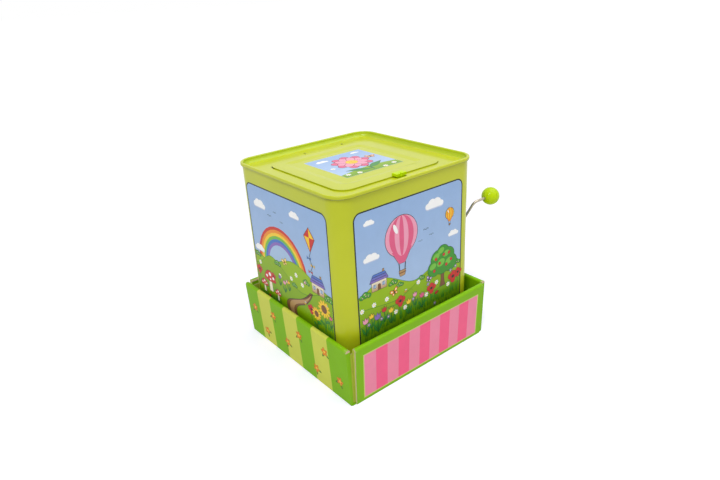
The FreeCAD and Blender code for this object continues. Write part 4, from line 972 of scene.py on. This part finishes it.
def wrapped(name, around, along, place, material):  # a grid bent to place(u, v), in millimetres
    bm = bmesh.new()
    bm.loops.layers.uv.new("weave")
    bmesh.ops.create_grid(bm, x_segments=around, y_segments=along, size=0.5, calc_uvs=True)
    for vert in bm.verts:
        vert.co = place(vert.co.x + 0.5, vert.co.y + 0.5) * mm
    bmesh.ops.remove_doubles(bm, verts=bm.verts, dist=2e-6)
    bmesh.ops.recalc_face_normals(bm, faces=bm.faces)
    for face in bm.faces:
        face.smooth = True
    return addedMesh(name, bm, material)


def inflated(mesh, seam, reach):  # panels swell between seams that are held still
    scale = softLook["simScale"]
    scratch = added("stuffing", mesh.copy())
    scratch.data.transform(Matrix.Scale(scale, 4))
    pins = scratch.vertex_groups.new(name="seams")
    pins.add([vert.index for vert in mesh.vertices if seam(vert.co / mm) < 0.5], 1.0, "REPLACE")
    cloth = scratch.modifiers.new("filling", "CLOTH")
    cloth.settings.vertex_group_mass = "seams"
    cloth.settings.use_pressure = True
    cloth.settings.uniform_pressure_force = softLook["pressure"]
    cloth.settings.effector_weights.gravity = 0.0
    cloth.point_cache.frame_end = softLook["simFrames"]
    for step in range(1, softLook["simFrames"] + 1):
        bpy.context.scene.frame_set(step)
    grown = scratch.evaluated_get(bpy.context.evaluated_depsgraph_get()).data
    for vert, swollen in zip(mesh.vertices, grown.vertices):
        move = swollen.co / scale - vert.co
        move.length = min(move.length, reach * mm)
        vert.co += move
    bpy.data.objects.remove(scratch)
    bpy.context.scene.frame_set(1)


def stuffedPiece(node, around, along, place, seam, reach, finish):
    def sewn(u, v):  # drawn in along its seams
        spot = place(u, v)
        ease = min(1.0, seam(spot) / softLook["seamWidth"])
        inward = (place(0.0, 0.5) + place(0.5, 0.5)) / 2 - spot
        return spot + inward.normalized() * softLook["groove"] * (1 - ease * ease * (3 - 2 * ease))
    piece = wrapped("plush_" + node, around, along, sewn, finishes[finish])
    # the seam value also darkens the plush colour there, as painted shade along the seams
    line = piece.data.attributes.new("seam", "FLOAT", "POINT")
    for vert, mark in zip(piece.data.vertices, line.data):
        mark.value = max(0.0, 1.0 - seam(vert.co / mm) / softLook["seamWidth"])
    inflated(piece.data, seam, reach)
    smooth = piece.modifiers.new("smooth", "SUBSURF")
    smooth.levels = 1
    smooth.render_levels = 1
    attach(piece, "figure")
    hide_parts(node)


def ringed(radius, turn, z):
    return Vector((radius * cos(turn), radius * sin(turn), z))


def thickened(piece, thickness):
    body = piece.modifiers.new("thickness", "SOLIDIFY")
    body.thickness = thickness * mm
    body.offset = 0.0


def ball(centre, rx, ry, rz, lumps=0.0):  # an ellipsoid, wound round from below to above
    def place(u, v):
        turn, rise = fullTurn * u, pi * (v - 0.5)
        way = Vector((cos(turn) * cos(rise), sin(turn) * cos(rise), sin(rise)))
        swell = 1 + lumps * noise.noise(way * 1.7 + Vector(centre))
        return Vector(centre) + Vector((way.x * rx, way.y * ry, way.z * rz)) * swell
    return place


def girth(profile, share):  # radius at a share of the height, eased through the profile
    for (s0, r0), (s1, r1) in zip(profile[:-1], profile[1:]):
        if share <= s1:
            part = (share - s0) / (s1 - s0)
            return r0 + (r1 - r0) * part * part * (3 - 2 * part)
    return profile[-1][1]


torsoLook = {"foot": 58.9, "height": 36.0, "belly": 0.03,
             "profile": [(0.0, 0.0), (0.03, 24.0), (0.09, 29.0), (0.36, 31.4), (0.7, 28.4), (0.93, 20.0),
                         (1.0, 12.0)]}
farAway = 99.0  # no seam here


def torsoPlace(u, v):
    turn = fullTurn * u
    radius = girth(torsoLook["profile"], v)
    spot = ringed(radius, turn, torsoLook["foot"] + torsoLook["height"] * v)
    spot.y *= 1 + torsoLook["belly"] * cos(turn + pi / 2) * sin(pi * v)
    return spot


def torsoSeam(spot):  # side seams and one down the back
    return min(abs(spot.y), abs(spot.x) if spot.y > 0 else farAway)


stuffedPiece("torso", 96, 56, torsoPlace, torsoSeam, 0.7, "honeyPile")

headLook = {"centre": (0.0, 0.0, 117.8), "across": 34.5, "high": 28.8, "gusset": 8.0, "crown": 5.0,
            "chin": 104.0}
muzzleLook = {"centre": (0.0, -28.0, 110.6), "radii": (13.5, 13.6, 12.4), "seamTop": 113.0}


def headSeam(spot):  # a gusset over the crown, wider on top
    lift = max(0.0, (spot.z - headLook["centre"][2]) / headLook["high"])
    edge = abs(abs(spot.x) - headLook["gusset"] - headLook["crown"] * lift)
    return edge if spot.z > headLook["chin"] else abs(spot.x)


headPlace = ball(headLook["centre"], headLook["across"], headLook["across"], headLook["high"], 0.012)
stuffedPiece("head", 120, 72, headPlace, headSeam, 0.7, "honeyPile")
stuffedPiece("muzzle", 72, 44, ball(muzzleLook["centre"], *muzzleLook["radii"], 0.01),
             lambda spot: abs(spot.x) if spot.z < muzzleLook["seamTop"] else farAway, 0.5,
             "creamPile")
for side, name in ((-1, "ear_left"), (1, "ear_right")):
    stuffedPiece(name, 72, 40, ball((side * 23.0, 0.0, 138.8), 10.8, 3.3, 10.8, 0.01),
                 lambda spot: abs(spot.y), 0.6, "honeyPile")

armLook = {"shoulder": (23.0, -4.0, 81.8), "way": (0.42, -0.34, -0.72), "length": 26.0,
           "profile": [(0.0, 0.0), (0.04, 3.4), (0.12, 4.8), (0.55, 5.9), (0.76, 6.8), (0.9, 5.6), (0.97, 3.2),
                       (1.0, 0.0)]}
for side, name in ((-1, "arm_left"), (1, "arm_right")):
    way = Vector((side * armLook["way"][0], armLook["way"][1], armLook["way"][2])).normalized()
    across = way.cross(Vector((0, 1, 0))).normalized()
    over = way.cross(across)
    start = Vector((side * armLook["shoulder"][0], armLook["shoulder"][1], armLook["shoulder"][2]))

    def armPlace(u, v):
        turn = fullTurn * u
        radius = girth(armLook["profile"], v)
        return start + way * armLook["length"] * v + (across * cos(turn) + over * sin(turn)) * radius

    def armSeam(spot):  # along the inner side only
        return abs((spot - start).dot(across)) + (0 if (spot - start).dot(over) < 0 else 9)

    stuffedPiece(name, 56, 44, armPlace, armSeam, 0.5, "honeyPile")

mouthLook = {"thread": 0.42, "half": 5.4, "drop": 105.4, "curl": 0.065, "under": 112.4, "proud": 0.3,
             "sunk": 0.8}


def onMuzzle(x, z):
    rx, ry, rz = muzzleLook["radii"]
    middle = muzzleLook["centre"]
    share = 1 - (x / rx) ** 2 - ((z - middle[2]) / rz) ** 2
    sunk = mouthLook["sunk"] * max(0.0, 1 - abs(x) / softLook["seamWidth"])
    return Vector((x, middle[1] - ry * sqrt(share) - mouthLook["proud"] + sunk, z))


def smilePlace(u, v):
    x = mouthLook["half"] * (2 * v - 1)
    turn = fullTurn * u
    spot = onMuzzle(x, mouthLook["drop"] + mouthLook["curl"] * x * x)
    return spot + Vector((0, cos(turn), sin(turn))) * mouthLook["thread"]


def lipPlace(u, v):
    turn = fullTurn * u
    spot = onMuzzle(0.0, mouthLook["drop"] + (mouthLook["under"] - mouthLook["drop"]) * v)
    return spot + ringed(mouthLook["thread"], turn, 0)


for name, place in (("thread_smile", smilePlace), ("thread_lip", lipPlace)):
    stitch = wrapped(name, 10, 24, place, finishes["mouthThread"])
    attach(stitch, "figure")
print("figure stuffed")

collarLook = {"inner": 15.5, "outer": 32.2, "level": 92.2, "fall": 3.2, "waves": 14, "rise": 1.5,
              "thick": 1.0}


def collarPlace(u, v):  # a felt strip gathered at the neck
    turn = fullTurn * u
    ruffle = sin(collarLook["waves"] * turn + 0.8 * sin(3 * turn)) * collarLook["rise"] * v
    radius = collarLook["inner"] + (collarLook["outer"] - collarLook["inner"]) * v
    radius += 0.5 * cos(2 * collarLook["waves"] * turn) * v * v
    return ringed(radius, turn, collarLook["level"] - collarLook["fall"] * v + ruffle)


ruff = wrapped("felt_collar", 224, 14, collarPlace, finishes["redFelt"])
thickened(ruff, collarLook["thick"])
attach(ruff, "figure")
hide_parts("collar")

sleeveLook = {"bottom": 4.0, "top": 58.1, "inner": 40.7, "fold": 3.4, "folds": 6, "neck": 27.6,
              "thick": 0.35, "side": 0.86, "pleats": 40, "pleat": 0.32, "tuck": 8.0,
              "tuckAt": radians(308), "tuckHalf": 0.9}


def sleevePlace(u, v):  # folds up the side, then pleats drawn in to the head plate
    turn = fullTurn * u
    side, inner, top = sleeveLook["side"], sleeveLook["inner"], sleeveLook["top"]
    if v < side:
        share = v / side
        bulge = abs(sin(pi * sleeveLook["folds"] * share))
        crumple = noise.noise(Vector((cos(turn) * 2.4, sin(turn) * 2.4, share * 7)))
        away = (turn - sleeveLook["tuckAt"] + pi) % fullTurn - pi
        tuck = max(0.0, 1 - (away / sleeveLook["tuckHalf"]) ** 2) ** 2  # room for the movement
        radius = inner + sleeveLook["fold"] * bulge ** 0.7 + 0.35 * crumple
        radius -= sleeveLook["tuck"] * tuck * sin(pi * share) ** 2
        level = sleeveLook["bottom"] + (top - sleeveLook["bottom"]) * share
        return ringed(radius, turn, level - 0.4 * (share > 0.99))
    share = (v - side) / (1 - side)
    pleat = sleeveLook["pleat"] * (sin(sleeveLook["pleats"] * turn) * share - 1)
    return ringed(inner + (sleeveLook["neck"] - inner) * share, turn, top + pleat - 0.08)


cuff = wrapped("cloth_sleeve", 240, 150, sleevePlace, finishes["sleeveCotton"])
thickened(cuff, sleeveLook["thick"])
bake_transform(cuff)
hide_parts("sleeve")

springLook = {"wire": 0.9, "bottom": 36.0, "top": 22.0, "turns": 7, "flat": 0.75, "ease": 0.25, "foot": 5.3,
              "height": 48.6}


def coilPlace(turn):
    lift = max(0.0, turn - springLook["flat"]) / (springLook["turns"] - springLook["flat"])
    ease = lift * lift * (3 - 2 * lift) * springLook["ease"] + lift * (1 - springLook["ease"])
    radius = springLook["bottom"] + (springLook["top"] - springLook["bottom"]) * turn / springLook["turns"]
    return ringed(radius, fullTurn * turn, springLook["foot"] + springLook["height"] * ease)


def wirePlace(u, v):
    turn = springLook["turns"] * v
    centre = coilPlace(turn)
    outward = Vector((centre.x, centre.y, 0)).normalized()
    angle = fullTurn * u
    return centre + (outward * cos(angle) + Vector((0, 0, 1)) * sin(angle)) * springLook["wire"]


coil = wrapped("coil_spring", 12, 420, wirePlace, finishes["springSteel"])
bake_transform(coil)
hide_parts("pop_spring")
print("sleeve and spring in place")
